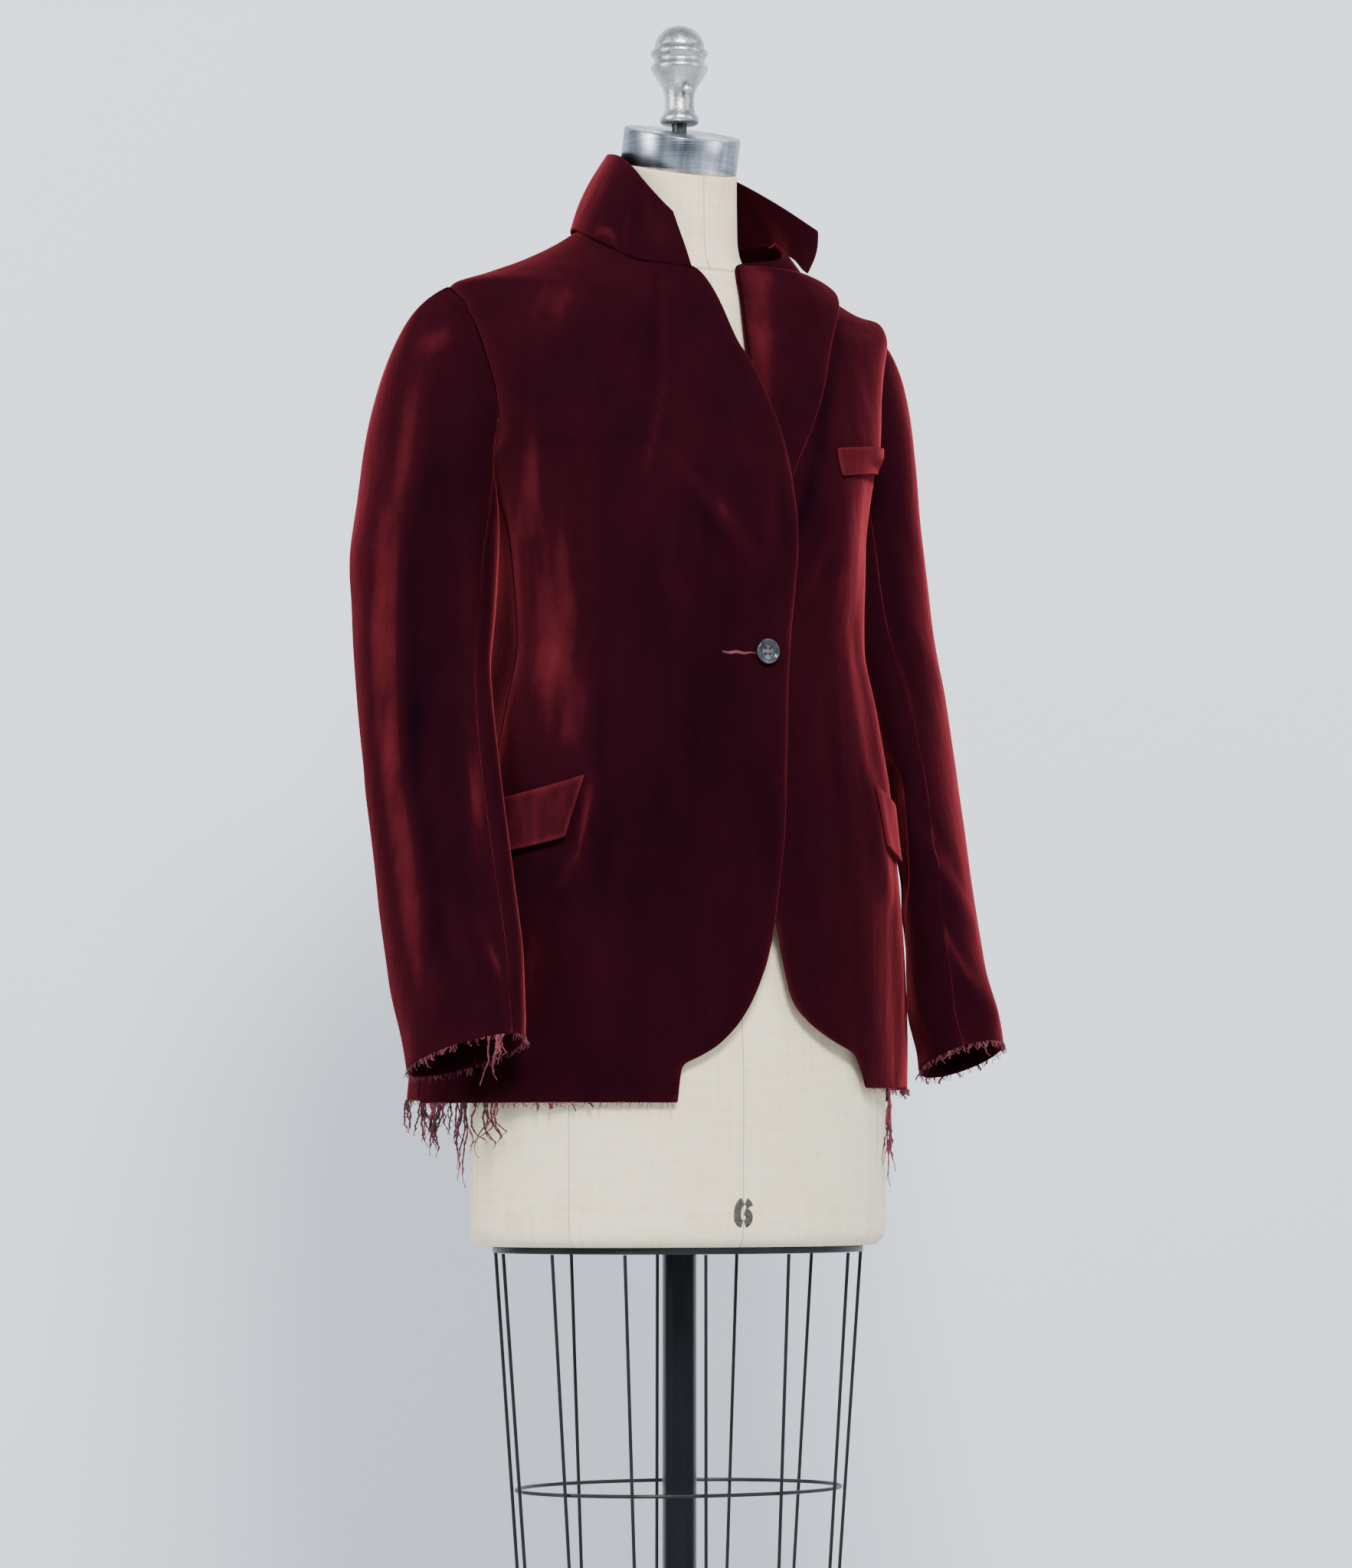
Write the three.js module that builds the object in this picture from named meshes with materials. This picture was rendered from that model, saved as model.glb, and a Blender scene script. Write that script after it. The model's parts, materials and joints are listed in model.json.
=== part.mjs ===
import * as THREE from 'three';

// A velvet hacking jacket on a limbless dress form.
// Sizes are millimetres, +Z is up, the form faces -Y and the wearer's right is -X.
// The origin is on the pole's axis at the underside of the base.

// Cloth and seams.
const clothWall = 2.0;
const seamGap = 0.5;
const layerGap = 0.7;
const collarWall = 2.2;
const neighbourGap = 0.3;

// Dress form and stand heights.
const formBottom = 740;
const formNeckSeam = 1503;
const capTopCentre = { y: -6, z: 1620 };
const capTilt = THREE.MathUtils.degToRad(16.6);
const capHeight = 28;
const capRadius = 46.5;
const neckRadius = 45.5;
const poleRadius = 13.5;
const plateThickness = 5;
const finialBottom = 1628;
const rodRadius = 6;
const baseRadius = 210;
const baseHeight = 22;
const socketHeight = 38;
const plateHalf = { x: 152, front: 107, back: 109 };
const cageWireRadius = 1.5;
const cageRingGap = 0.65;
const cageTop = { x: 150, y: 105 };
const cageMiddleZ = 551;
const cageBottom = { z: 308, x: 117, y: 93 };

// Horizontal sections of the jacket's body, at its outer face.
// half is the half-width, front and back are the middle's Y, side is the Y of the side,
// and openFront and openBack part the armhole's two edges from it.
const bodySections = [
  { z: 853, half: 205, front: -124, back: 201, side: 38, openFront: 0, openBack: 0 },
  { z: 900, half: 203, front: -126, back: 189, side: 32, openFront: 0, openBack: 0 },
  { z: 985, half: 192, front: -128, back: 168, side: 14, openFront: 0, openBack: 0 },
  { z: 1065, half: 176, front: -128, back: 148, side: -6, openFront: 0, openBack: 0 },
  { z: 1110, half: 166, front: -126, back: 132, side: -18, openFront: 0, openBack: 0 },
  { z: 1160, half: 156, front: -124, back: 117, side: -20, openFront: 0, openBack: 0 },
  { z: 1210, half: 146, front: -124, back: 108, side: -16, openFront: 0, openBack: 0 },
  { z: 1285, half: 149, front: -135, back: 110, side: -8, openFront: 0, openBack: 0 },
  { z: 1335, half: 159, front: -129, back: 115, side: 2, openFront: 0, openBack: 0 },
  { z: 1350, half: 163, front: -124, back: 116, side: 5, openFront: 0, openBack: 0 },
  { z: 1363, half: 162, front: -119, back: 117, side: 8, openFront: 24, openBack: 20 },
  { z: 1402, half: 165, front: -105, back: 115, side: 16, openFront: 33, openBack: 39 },
  { z: 1436, half: 173, front: -92, back: 108, side: 22, openFront: 30, openBack: 40 },
  { z: 1464, half: 183, front: -81, back: 97, side: 25, openFront: 20, openBack: 27 },
  { z: 1478, half: 187, front: -76, back: 90, side: 25, openFront: 0, openBack: 0 },
  { z: 1492, half: 160, front: -70, back: 82, side: 22, openFront: 0, openBack: 0 },
  { z: 1508, half: 128, front: -63, back: 74, side: 17, openFront: 0, openBack: 0 },
  { z: 1524, half: 102, front: -57, back: 68, side: 13, openFront: 0, openBack: 0 },
  { z: 1541, half: 80, front: -50, back: 62, side: 8, openFront: 0, openBack: 0 },
];

// The right front's edge from hem to neckline: the straight hem, the step,
// the rounded cutaway, the overlap, the roll to the neck and the neckline.
const rightEdge = [
  { z: 850, x: -56 }, { z: 878, x: -53 }, { z: 885, x: -40 }, { z: 894, x: -25 },
  { z: 911, x: -8 }, { z: 930, x: 4 }, { z: 958, x: 15 }, { z: 984, x: 21 },
  { z: 1005, x: 24 }, { z: 1057, x: 31 }, { z: 1113, x: 34 }, { z: 1176, x: 37 },
  { z: 1240, x: 41 }, { z: 1297, x: 40.5 }, { z: 1323, x: 38.5 }, { z: 1365, x: 35 },
  { z: 1396, x: 28 }, { z: 1425, x: 18.5 }, { z: 1443, x: 9 }, { z: 1472, x: 0.5 },
  { z: 1494, x: -8.5 }, { z: 1504, x: -18 }, { z: 1507, x: -43 }, { z: 1511, x: -63 },
  { z: 1523, x: -78 }, { z: 1538, x: -79.5 },
];

// The left front's edge, which runs under the right front and then along the roll line.
const leftEdge = [
  { z: 862, x: 116 }, { z: 881, x: 107 }, { z: 889, x: 101 }, { z: 895, x: 86 },
  { z: 902, x: 71 }, { z: 915, x: 52 }, { z: 929, x: 40 }, { z: 959, x: 31 },
  { z: 996, x: 22 }, { z: 1030, x: 2 }, { z: 1060, x: -14 }, { z: 1200, x: -20 },
  { z: 1330, x: 16 }, { z: 1430, x: 20 }, { z: 1482, x: 23 }, { z: 1509, x: 25 },
  { z: 1513, x: 48 }, { z: 1517, x: 66 }, { z: 1524, x: 77 }, { z: 1538, x: 79.5 },
];

// The folded-out left lapel between its roll line and its outer edge.
const lapelRows = [
  { z: 1268, roll: 4, outer: 26 }, { z: 1327, roll: 15, outer: 40 }, { z: 1368, roll: 19, outer: 61 },
  { z: 1407, roll: 20, outer: 79 }, { z: 1451, roll: 22, outer: 96 }, { z: 1480, roll: 24, outer: 111 },
  { z: 1495, roll: 25, outer: 117 }, { z: 1504, roll: 26, outer: 107 }, { z: 1509, roll: 28, outer: 80 },
];

// Stations of the stand-up collar from the right front end round the back to the left tip.
const collarStations = [
  { x: -20, y: -66.6, z: 1503.8, topX: -34, topY: -61, topZ: 1546 },
  { x: -44, y: -62, z: 1505.8, topX: -47, topY: -47, topZ: 1566 },
  { x: -66.5, y: -54.2, z: 1510.2, topX: -52, topY: -28, topZ: 1584 },
  { x: -86.6, y: -28.5, z: 1527.5, topX: -54, topY: -4, topZ: 1598 },
  { x: -86.6, y: 12, z: 1540.2, topX: -50, topY: 24, topZ: 1605 },
  { x: -68, y: 47, z: 1539.8, topX: -38, topY: 46, topZ: 1608 },
  { x: 0, y: 67, z: 1539.8, topX: 0, topY: 59, topZ: 1609 },
  { x: 68, y: 47, z: 1539.8, topX: 44, topY: 46, topZ: 1604 },
  { x: 86, y: 12, z: 1540, topX: 62, topY: 20, topZ: 1590 },
  { x: 88, y: -27, z: 1526.5, topX: 84, topY: -12, topZ: 1567 },
  { x: 88, y: -52, z: 1507, topX: 101, topY: -46, topZ: 1542 },
];

// Horizontal sections of the left sleeve, mirrored for the right one.
// x and y are the centre, halfX and halfY the reach, and skew turns the long axis
// from inner front to outer back.
const sleeveSections = [
  { z: 885, x: 210, y: -68, halfX: 41, halfY: 44, skew: 0.25 },
  { z: 905, x: 209.5, y: -63, halfX: 42, halfY: 46, skew: 0.28 },
  { z: 957, x: 209.5, y: -45, halfX: 41.5, halfY: 50, skew: 0.52 },
  { z: 1095, x: 210.8, y: -2, halfX: 39.7, halfY: 54, skew: 0.68 },
  { z: 1177, x: 207.5, y: 26, halfX: 41.7, halfY: 55, skew: 0.53 },
  { z: 1235, x: 200.2, y: 44, halfX: 47.8, halfY: 58, skew: 0.39 },
  { z: 1283, x: 196, y: 53, halfX: 50, halfY: 64, skew: 0.32 },
  { z: 1322, x: 190, y: 56, halfX: 50, halfY: 69, skew: 0.23 },
  { z: 1345, x: 186, y: 58, halfX: 51, halfY: 72, skew: 0.16 },
];
const cuffSlope = 0.32;
const cuffLean = { left: 0.17, right: -0.12 };
const sleeveBodyClearance = { most: 3.6, least: 2.4, lowZ: 1285, highZ: 1320 };
const sleeveFlapRoom = 7.5;
const sleeveHeadGap = 1.7;
const besideFlap = { low: 1000, lowFull: 1035, highFull: 1105, high: 1150 };

// How the jacket hangs unevenly: the right shoulder stands higher, the left sleeve further out.
const shoulderRise = { most: 11, fromX: 85, fullX: 190, fromZ: 1400, fullZ: 1470 };
const shoulderDip = { most: 9, fromX: 82, fullX: 105, easeX: 148, noneX: 184, fromZ: 1440, fullZ: 1480 };
const leftSleeveOut = { most: 10, top: 1345, bottom: 885, cuffIn: 9, cuffFrom: 925 };

// How much fuller the backs hang beside the waist, a short way behind the side seam.
const backFullness = { most: 17, middleZ: 1185, reachZ: 75, fullTurn: 0.42, easeTurn: 1.2 };

// How far the left front and its lapel lie under the right front, shallow at the button
// and deep at the chest, fading out to the wearer's left.
const underlapDepth = { shallow: 3.1, deep: 8.6, low: 1195, high: 1297, fullX: 34, noneX: 84 };
const lapelRoll = { height: 4.5, low: 1360, high: 1430 };
const collarBulge = 3;

// Horizontal sections of the linen-covered torso.
const formSections = [
  { z: 740, half: 164, front: -108, back: 110 },
  { z: 744, half: 169, front: -113, back: 115 },
  { z: 752, half: 171, front: -115, back: 117 },
  { z: 860, half: 172, front: -116, back: 118 },
  { z: 940, half: 164, front: -111, back: 115 },
  { z: 1020, half: 145, front: -100, back: 104 },
  { z: 1100, half: 119, front: -86, back: 88 },
  { z: 1160, half: 121, front: -93, back: 88 },
  { z: 1220, half: 131, front: -107, back: 92 },
  { z: 1270, half: 138, front: -112, back: 96 },
  { z: 1330, half: 140, front: -104, back: 99 },
  { z: 1400, half: 145, front: -86, back: 98 },
  { z: 1440, half: 148, front: -72, back: 88 },
  { z: 1462, half: 132, front: -65, back: 78 },
  { z: 1480, half: 100, front: -61, back: 70 },
  { z: 1493, half: 76, front: -58, back: 63 },
  { z: 1503, half: 62, front: -56, back: 60 },
];
const neckSections = [
  { rise: 0.3, half: 60, depth: 57 },
  { rise: 7, half: 53, depth: 52 },
  { rise: 17, half: 48, depth: 48 },
  { rise: 30, half: 46, depth: 46 },
];

// Radii of the cast finial, by height above its foot.
const finialProfile = [
  { rise: 0, radius: 14 }, { rise: 2, radius: 15.5 }, { rise: 5, radius: 15.3 },
  { rise: 9, radius: 12.5 }, { rise: 18, radius: 11.6 }, { rise: 27, radius: 13 },
  { rise: 33, radius: 16.5 }, { rise: 40, radius: 20.5 }, { rise: 43.5, radius: 22.6 },
  { rise: 46, radius: 22.6 }, { rise: 48, radius: 20.4 }, { rise: 53, radius: 20.2 },
  { rise: 55, radius: 22.6 }, { rise: 58, radius: 22.6 }, { rise: 60, radius: 20 },
  { rise: 66, radius: 19 }, { rise: 72, radius: 15.5 }, { rise: 77, radius: 9.5 },
];
const finialTop = 79;

// Places of the twelve cage wires round the plate, in degrees from the wearer's left.
const cageWireTurns = [-41, -18, 24, 53, 79, 109, 161, 180, 209, 235, 260, 288];

// Soft folds pressed into the fronts: from one place to another, with depth and width.
const frontFolds = [
  { side: -1, x1: 43, z1: 1485, x2: 80, z2: 1335, depth: -2.5, width: 12 },
  { side: -1, x1: 112, z1: 1222, x2: 133, z2: 1112, depth: -3.5, width: 12 },
  { side: -1, x1: 119, z1: 1098, x2: 141, z2: 1017, depth: 4, width: 11 },
  { side: -1, x1: 150, z1: 1330, x2: 132, z2: 1230, depth: 3.5, width: 14 },
  { side: 1, x1: 112, z1: 1222, x2: 133, z2: 1112, depth: -3.5, width: 12 },
  { side: 1, x1: 119, z1: 1098, x2: 141, z2: 1017, depth: 4, width: 11 },
];

// Clumps of loose threads along the raw edges, by share of the way along each edge.
const strandWidth = 1.3;
const stripHeight = 1.2;
const frontRightClumps = [
  { at: 0.03, spread: 0.04, count: 4, longest: 34 },
  { at: 0.12, spread: 0.05, count: 5, longest: 46 },
  { at: 0.27, spread: 0.05, count: 4, longest: 62, curl: 2.5 },
  { at: 0.38, spread: 0.07, count: 3, longest: 44, curl: 5 },
  { at: 0.75, spread: 0.3, count: 3, longest: 8 },
];
const frontLeftClumps = [
  { at: 0.8, spread: 0, count: 1, longest: 86, curl: 1.4 }, { at: 0.35, spread: 0.3, count: 3, longest: 9 },
];
const backClumps = [
  { at: 0.15, spread: 0.1, count: 3, longest: 22 }, { at: 0.48, spread: 0.12, count: 4, longest: 36 },
  { at: 0.84, spread: 0.12, count: 4, longest: 30 },
];
const cuffClumps = [
  { at: 0.08, spread: 0.05, count: 3, longest: 38 }, { at: 0.5, spread: 0.3, count: 3, longest: 8 },
  { at: 0.86, spread: 0.1, count: 3, longest: 9 },
];

// Colours of the materials.
const velvet = new THREE.MeshStandardMaterial({ color: 0x4a0c18, roughness: 0.85 });
const thread = new THREE.MeshStandardMaterial({ color: 0x6d1626, roughness: 0.9 });
const linen = new THREE.MeshStandardMaterial({ color: 0xded4c0, roughness: 0.85 });
const brushed = new THREE.MeshStandardMaterial({ color: 0xa9adb2, roughness: 0.35, metalness: 0.9 });
const castMetal = new THREE.MeshStandardMaterial({ color: 0xb4b7ba, roughness: 0.4, metalness: 0.7 });
const blackEnamel = new THREE.MeshStandardMaterial({ color: 0x101216, roughness: 0.3 });
const horn = new THREE.MeshStandardMaterial({ color: 0x2c3138, roughness: 0.3 });

const jacket = new THREE.Group();

// A smooth value of one column between a table's rows, with no overshoot.
function columnAt(table, column, place, key = 'z') {
  const last = table.length - 1;
  const at = THREE.MathUtils.clamp(place, table[0][key], table[last][key]);
  let row = 0;
  while (row < last - 1 && table[row + 1][key] < at) row += 1;
  const rate = (i) => (table[i + 1][column] - table[i][column]) / (table[i + 1][key] - table[i][key]);
  const slope = (i) => {
    if (i === 0) return rate(0);
    if (i === last) return rate(last - 1);
    const before = rate(i - 1);
    const after = rate(i);
    return before * after <= 0 ? 0 : (2 * before * after) / (before + after);
  };
  const span = table[row + 1][key] - table[row][key];
  const t = (at - table[row][key]) / span;
  const low = table[row][column] * (1 + 2 * t) * (1 - t) ** 2 + slope(row) * span * t * (1 - t) ** 2;
  const high = table[row + 1][column] * t * t * (3 - 2 * t) + slope(row + 1) * span * t * t * (t - 1);
  return low + high;
}

const steps = (first, last, count) =>
  Array.from({ length: count + 1 }, (_, i) => first + ((last - first) * i) / count);

// One closed solid from rows of outer points and the rows of its inner face.
function wallFromRows(outer, inner) {
  const rows = outer.length;
  const columns = outer[0].length;
  const positions = [];
  for (const grid of [outer, inner]) {
    for (const row of grid) {
      for (const point of row) positions.push(point.x, point.y, point.z);
    }
  }
  const at = (side, i, j) => side * rows * columns + i * columns + j;
  const faces = [];
  const quad = (a, b, c, d) => faces.push(a, b, c, a, c, d);
  for (let i = 0; i + 1 < rows; i += 1) {
    for (let j = 0; j + 1 < columns; j += 1) {
      quad(at(0, i, j), at(0, i, j + 1), at(0, i + 1, j + 1), at(0, i + 1, j));
      quad(at(1, i, j), at(1, i + 1, j), at(1, i + 1, j + 1), at(1, i, j + 1));
    }
    quad(at(0, i, 0), at(0, i + 1, 0), at(1, i + 1, 0), at(1, i, 0));
    quad(at(0, i, columns - 1), at(1, i, columns - 1), at(1, i + 1, columns - 1), at(0, i + 1, columns - 1));
  }
  for (let j = 0; j + 1 < columns; j += 1) {
    quad(at(0, 0, j), at(1, 0, j), at(1, 0, j + 1), at(0, 0, j + 1));
    quad(at(0, rows - 1, j), at(0, rows - 1, j + 1), at(1, rows - 1, j + 1), at(1, rows - 1, j));
  }
  return closedGeometry(positions, faces);
}

// The geometry of a closed list of faces, turned so that they point out.
function closedGeometry(positions, faces) {
  let volume = 0;
  const corner = (index) => new THREE.Vector3().fromArray(positions, index * 3);
  for (let i = 0; i < faces.length; i += 3) {
    volume += corner(faces[i]).dot(corner(faces[i + 1]).cross(corner(faces[i + 2])));
  }
  if (volume < 0) faces.reverse();
  const geometry = new THREE.BufferGeometry();
  geometry.setAttribute('position', new THREE.Float32BufferAttribute(positions, 3));
  geometry.setIndex(faces);
  return geometry;
}

// The direction away from the surface at one point of a grid, towards its outer side.
function gridNormal(grid, i, j, outwards) {
  const below = grid[Math.max(i - 1, 0)][j];
  const above = grid[Math.min(i + 1, grid.length - 1)][j];
  const before = grid[i][Math.max(j - 1, 0)];
  const after = grid[i][Math.min(j + 1, grid[i].length - 1)];
  const normal = above.clone().sub(below).cross(after.clone().sub(before)).normalize();
  return normal.dot(outwards(grid[i][j])) < 0 ? normal.negate() : normal;
}

// The inner face of a wall of cloth whose outer face is the grid. level names, for the
// first and the last column, the axis that the wall must not lean along, so that seams stay even.
function innerFace(grid, outwards, thickness = clothWall, level = {}) {
  return grid.map((row, i) => row.map((point, j) => {
    const normal = gridNormal(grid, i, j, outwards);
    if (j === 0 && level.first) normal[level.first] = 0;
    if (j === row.length - 1 && level.last) normal[level.last] = 0;
    return point.clone().addScaledVector(normal.normalize(), -thickness);
  }));
}

const clothWallFrom = (grid, outwards, thickness, level) =>
  wallFromRows(grid, innerFace(grid, outwards, thickness, level));

// A frayed raw edge: a narrow strip just below the cloth's edge, with hanging strands
// fused to it. Each strand has its share of the way along, length, drift and curl.
function frayedEdge(outer, inner, strands) {
  const along = (edge, share) => {
    const at = THREE.MathUtils.clamp(share, 0, 1) * (edge.length - 1);
    const index = Math.min(Math.floor(at), edge.length - 2);
    return edge[index].clone().lerp(edge[index + 1], at - index);
  };
  const length = steps(0, 1, 20).slice(1)
    .reduce((sum, share) => sum + along(outer, share).distanceTo(along(outer, share - 0.05)), 0);
  const reach = strandWidth / 2 / length;
  const stations = strands.flatMap((s) => [{ share: s.at - reach, strand: s }, { share: s.at + reach }]);
  for (const share of steps(0, 1, outer.length - 1)) {
    if (strands.every((s) => Math.abs(s.at - share) > reach * 1.6)) stations.push({ share });
  }
  stations.sort((a, b) => a.share - b.share);
  const positions = [];
  const put = (point) => positions.push(point.x, point.y, point.z) / 3 - 1;
  const down = (point, depth) => point.clone().setZ(point.z - depth);
  const corners = stations.map(({ share }) => {
    const out = along(outer, share);
    const within = along(inner, share);
    const low = neighbourGap + stripHeight;
    return [down(out, neighbourGap), down(within, neighbourGap), down(within, low), down(out, low)].map(put);
  });
  const faces = [];
  const quad = (a, b, c, d) => faces.push(a, b, c, a, c, d);
  const point = (index) => new THREE.Vector3().fromArray(positions, index * 3);
  for (let k = 0; k + 1 < corners.length; k += 1) {
    const [a, b, c, d] = corners[k];
    const [e, f, g, h] = corners[k + 1];
    quad(a, e, f, b);
    quad(b, f, g, c);
    quad(d, h, e, a);
    const { strand } = stations[k];
    if (!strand) {
      quad(c, g, h, d);
      continue;
    }
    let ring = [c, g, h, d];
    const root = ring.map(point);
    const centre = root.reduce((sum, p) => sum.add(p), new THREE.Vector3()).divideScalar(4);
    const sideways = root[1].clone().sub(root[0]).setZ(0).normalize();
    const outwards = root[3].clone().sub(root[0]).setZ(0).normalize();
    for (let bend = 1; bend <= strand.bends; bend += 1) {
      const t = bend / strand.bends;
      const swing = strand.drift * t + strand.curl * Math.sin(2.4 * Math.PI * t);
      const shift = sideways.clone().multiplyScalar(swing)
        .addScaledVector(outwards, strand.curl * 0.5 * (1 - Math.cos(1.7 * Math.PI * t)));
      const size = THREE.MathUtils.lerp(0.75, 0.4, t);
      const next = root.map((p) => put(p.clone().sub(centre).multiplyScalar(size).add(centre).add(shift)
        .setZ(centre.z - strand.length * t)));
      ring.forEach((_, i) => quad(ring[i], ring[(i + 1) % 4], next[(i + 1) % 4], next[i]));
      ring = next;
    }
    quad(...ring);
  }
  quad(...corners[0]);
  const [a, b, c, d] = corners[corners.length - 1];
  quad(b, a, d, c);
  return closedGeometry(positions, faces);
}

// Strands in clumps: each row gives a clump's place, spread, count and longest strand.
function strandsIn(clumps) {
  const strands = [];
  for (const clump of clumps) {
    for (let i = 0; i < clump.count; i += 1) {
      const vary = Math.sin(37.7 * (clump.at * 10 + i * 1.3));
      const length = clump.longest * (0.45 + 0.55 * Math.abs(Math.cos(2.1 * i + clump.at * 9)));
      strands.push({
        at: clump.at + clump.spread * (clump.count === 1 ? 0 : i / (clump.count - 1) - 0.5),
        length,
        drift: 5 * vary + (clump.drift ?? 0),
        curl: (clump.curl ?? 1.6) * (vary < 0 ? -1 : 1),
        bends: length > 45 ? 6 : 3,
      });
    }
  }
  return strands;
}

// A closed solid through closed rings, with a flat end at each end.
function ringSolid(rings) {
  const count = rings[0].length;
  const positions = [];
  for (const ring of rings) {
    for (const point of ring) positions.push(point.x, point.y, point.z);
  }
  const faces = [];
  for (let i = 0; i + 1 < rings.length; i += 1) {
    for (let j = 0; j < count; j += 1) {
      const next = (j + 1) % count;
      faces.push(i * count + j, i * count + next, (i + 1) * count + next);
      faces.push(i * count + j, (i + 1) * count + next, (i + 1) * count + j);
    }
  }
  const centre = (ring) =>
    ring.reduce((sum, point) => sum.add(point), new THREE.Vector3()).divideScalar(count);
  const ends = [centre(rings[0]), centre(rings[rings.length - 1])];
  const bottom = positions.length / 3;
  for (const end of ends) positions.push(end.x, end.y, end.z);
  const top = (rings.length - 1) * count;
  for (let j = 0; j < count; j += 1) {
    const next = (j + 1) % count;
    faces.push(bottom, next, j);
    faces.push(bottom + 1, top + j, top + next);
  }
  return closedGeometry(positions, faces);
}

function add(name, geometry, material) {
  const mesh = new THREE.Mesh(geometry, material);
  mesh.name = name;
  jacket.add(mesh);
  return mesh;
}

const fromAxis = (point) => new THREE.Vector3(point.x, point.y, 0);
const mirrored = (points) => points.map((row) => row.map((p) => new THREE.Vector3(-p.x, p.y, p.z)));

// Lifts a shoulder's points the more the further out they are.
function raiseShoulder(rows) {
  const { most, fromX, fullX, fromZ, fullZ } = shoulderRise;
  return rows.map((row) => row.map((point) => {
    const out = THREE.MathUtils.clamp((Math.abs(point.x) - fromX) / (fullX - fromX), 0, 1);
    const up = THREE.MathUtils.smoothstep(point.z, fromZ, fullZ);
    return point.clone().setZ(point.z + most * out * up);
  }));
}

// Lowers the left shoulder between the neck and the armhole.
function dipShoulder(rows) {
  const { most, fromX, fullX, easeX, noneX, fromZ, fullZ } = shoulderDip;
  return rows.map((row) => row.map((point) => {
    const along = THREE.MathUtils.smoothstep(point.x, fromX, fullX)
      * (1 - THREE.MathUtils.smoothstep(point.x, easeX, noneX));
    return point.clone().setZ(point.z - most * along * THREE.MathUtils.smoothstep(point.z, fromZ, fullZ));
  }));
}

// Moves the outward side of a left sleeve out, most in the middle of its length,
// and draws the inward side of its cuff in.
function hangFurtherOut(rows) {
  const { most, top, bottom, cuffIn, cuffFrom } = leftSleeveOut;
  return rows.map((row) => row.map((point) => {
    const along = THREE.MathUtils.clamp((top - point.z) / (top - bottom), 0, 1);
    const z = THREE.MathUtils.clamp(point.z, cuffZ, sleeveTopZ);
    const across = (point.x - columnAt(sleeveSections, 'x', z)) / columnAt(sleeveSections, 'halfX', z);
    const outward = 0.5 + 0.5 * THREE.MathUtils.clamp(across, -1, 1);
    const nearCuff = 1 - THREE.MathUtils.smoothstep(point.z, cuffZ, cuffFrom);
    const shift = most * outward * Math.sin(Math.PI * along) ** 2 + cuffIn * (1 - outward) * nearCuff;
    return point.clone().setX(point.x + shift);
  }));
}

// How far the folds lift or sink one place of a front.
function foldLift(side, x, z) {
  let lift = 0;
  for (const fold of frontFolds) {
    if (fold.side !== side) continue;
    const along = new THREE.Vector2(fold.x2 - fold.x1, fold.z2 - fold.z1);
    const from = new THREE.Vector2(Math.abs(x) - fold.x1, z - fold.z1);
    const t = THREE.MathUtils.clamp(from.dot(along) / along.lengthSq(), 0, 1);
    const away = from.addScaledVector(along, -t).length() / fold.width;
    lift += fold.depth * Math.exp(-away * away) * (0.25 + 0.75 * Math.sin(Math.PI * (0.15 + 0.7 * t)));
  }
  return lift;
}

// The Y of a panel's side edge, which parts from the other panel's at the armhole.
function sideY(face, z) {
  const side = columnAt(bodySections, 'side', z);
  if (face === 'front') return side - columnAt(bodySections, 'openFront', z);
  return side + columnAt(bodySections, 'openBack', z);
}

// How far the backs stand off beside the waist.
function fullnessOfBack(turn, z) {
  const { most, middleZ, reachZ, fullTurn, easeTurn } = backFullness;
  const fromSeam = Math.PI / 2 - Math.abs(turn);
  const grown = THREE.MathUtils.smoothstep(fromSeam, 0, fullTurn);
  const eased = 1 - 0.6 * THREE.MathUtils.smoothstep(fromSeam, fullTurn, easeTurn);
  return most * grown * eased * Math.exp(-(((z - middleZ) / reachZ) ** 2));
}

// One point of the jacket's body, lifted off its outer face. turn is 0 at the middle.
function bodyPoint(face, turn, z, lift = 0) {
  const half = columnAt(bodySections, 'half', z);
  const side = sideY(face, z);
  const middle = columnAt(bodySections, face, z);
  const toMiddle = Math.sign(middle - side);
  const flat = new THREE.Vector3(half * Math.sin(turn), side + (middle - side) * Math.cos(turn), z);
  const fold = face === 'front' ? foldLift(Math.sign(turn), flat.x, z) : fullnessOfBack(turn, z);
  const away = new THREE.Vector3(Math.sin(turn), toMiddle * Math.cos(turn), 0);
  return flat.addScaledVector(away, lift + fold);
}

// The turn at which the body's face has a given X.
function turnAt(x, z) {
  const half = columnAt(bodySections, 'half', z);
  return Math.asin(THREE.MathUtils.clamp(x / half, -1, 1));
}

// How far the left front lies under the right one.
function underlap(x, z) {
  const { shallow, deep, low, high, fullX, noneX } = underlapDepth;
  const depth = THREE.MathUtils.lerp(shallow, deep, THREE.MathUtils.smoothstep(z, low, high));
  return -depth * (1 - THREE.MathUtils.smoothstep(x, fullX, noneX));
}

// The turn of a panel's side edge, half a seam's gap short of the side.
const sideTurn = (face, z) =>
  Math.PI / 2 - seamGap / 2 / Math.abs(columnAt(bodySections, face, z) - sideY(face, z));

const rightHem = 850;
const leftHem = 862;
const frontHeights = [
  853, 866, 878, 881, 885, 894, 902, 911, 930, 958, 984, 1020, 1057, 1085, 1113, 1145, 1176, 1210,
  1240, 1268, 1297, 1323, 1349, 1356, 1365, 1380, 1396, 1425, 1443, 1458, 1472, 1479, 1487, 1496,
  1504, 1507, 1511, 1517, 1523, 1530, 1537,
];
const frontColumns = 10;

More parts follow.
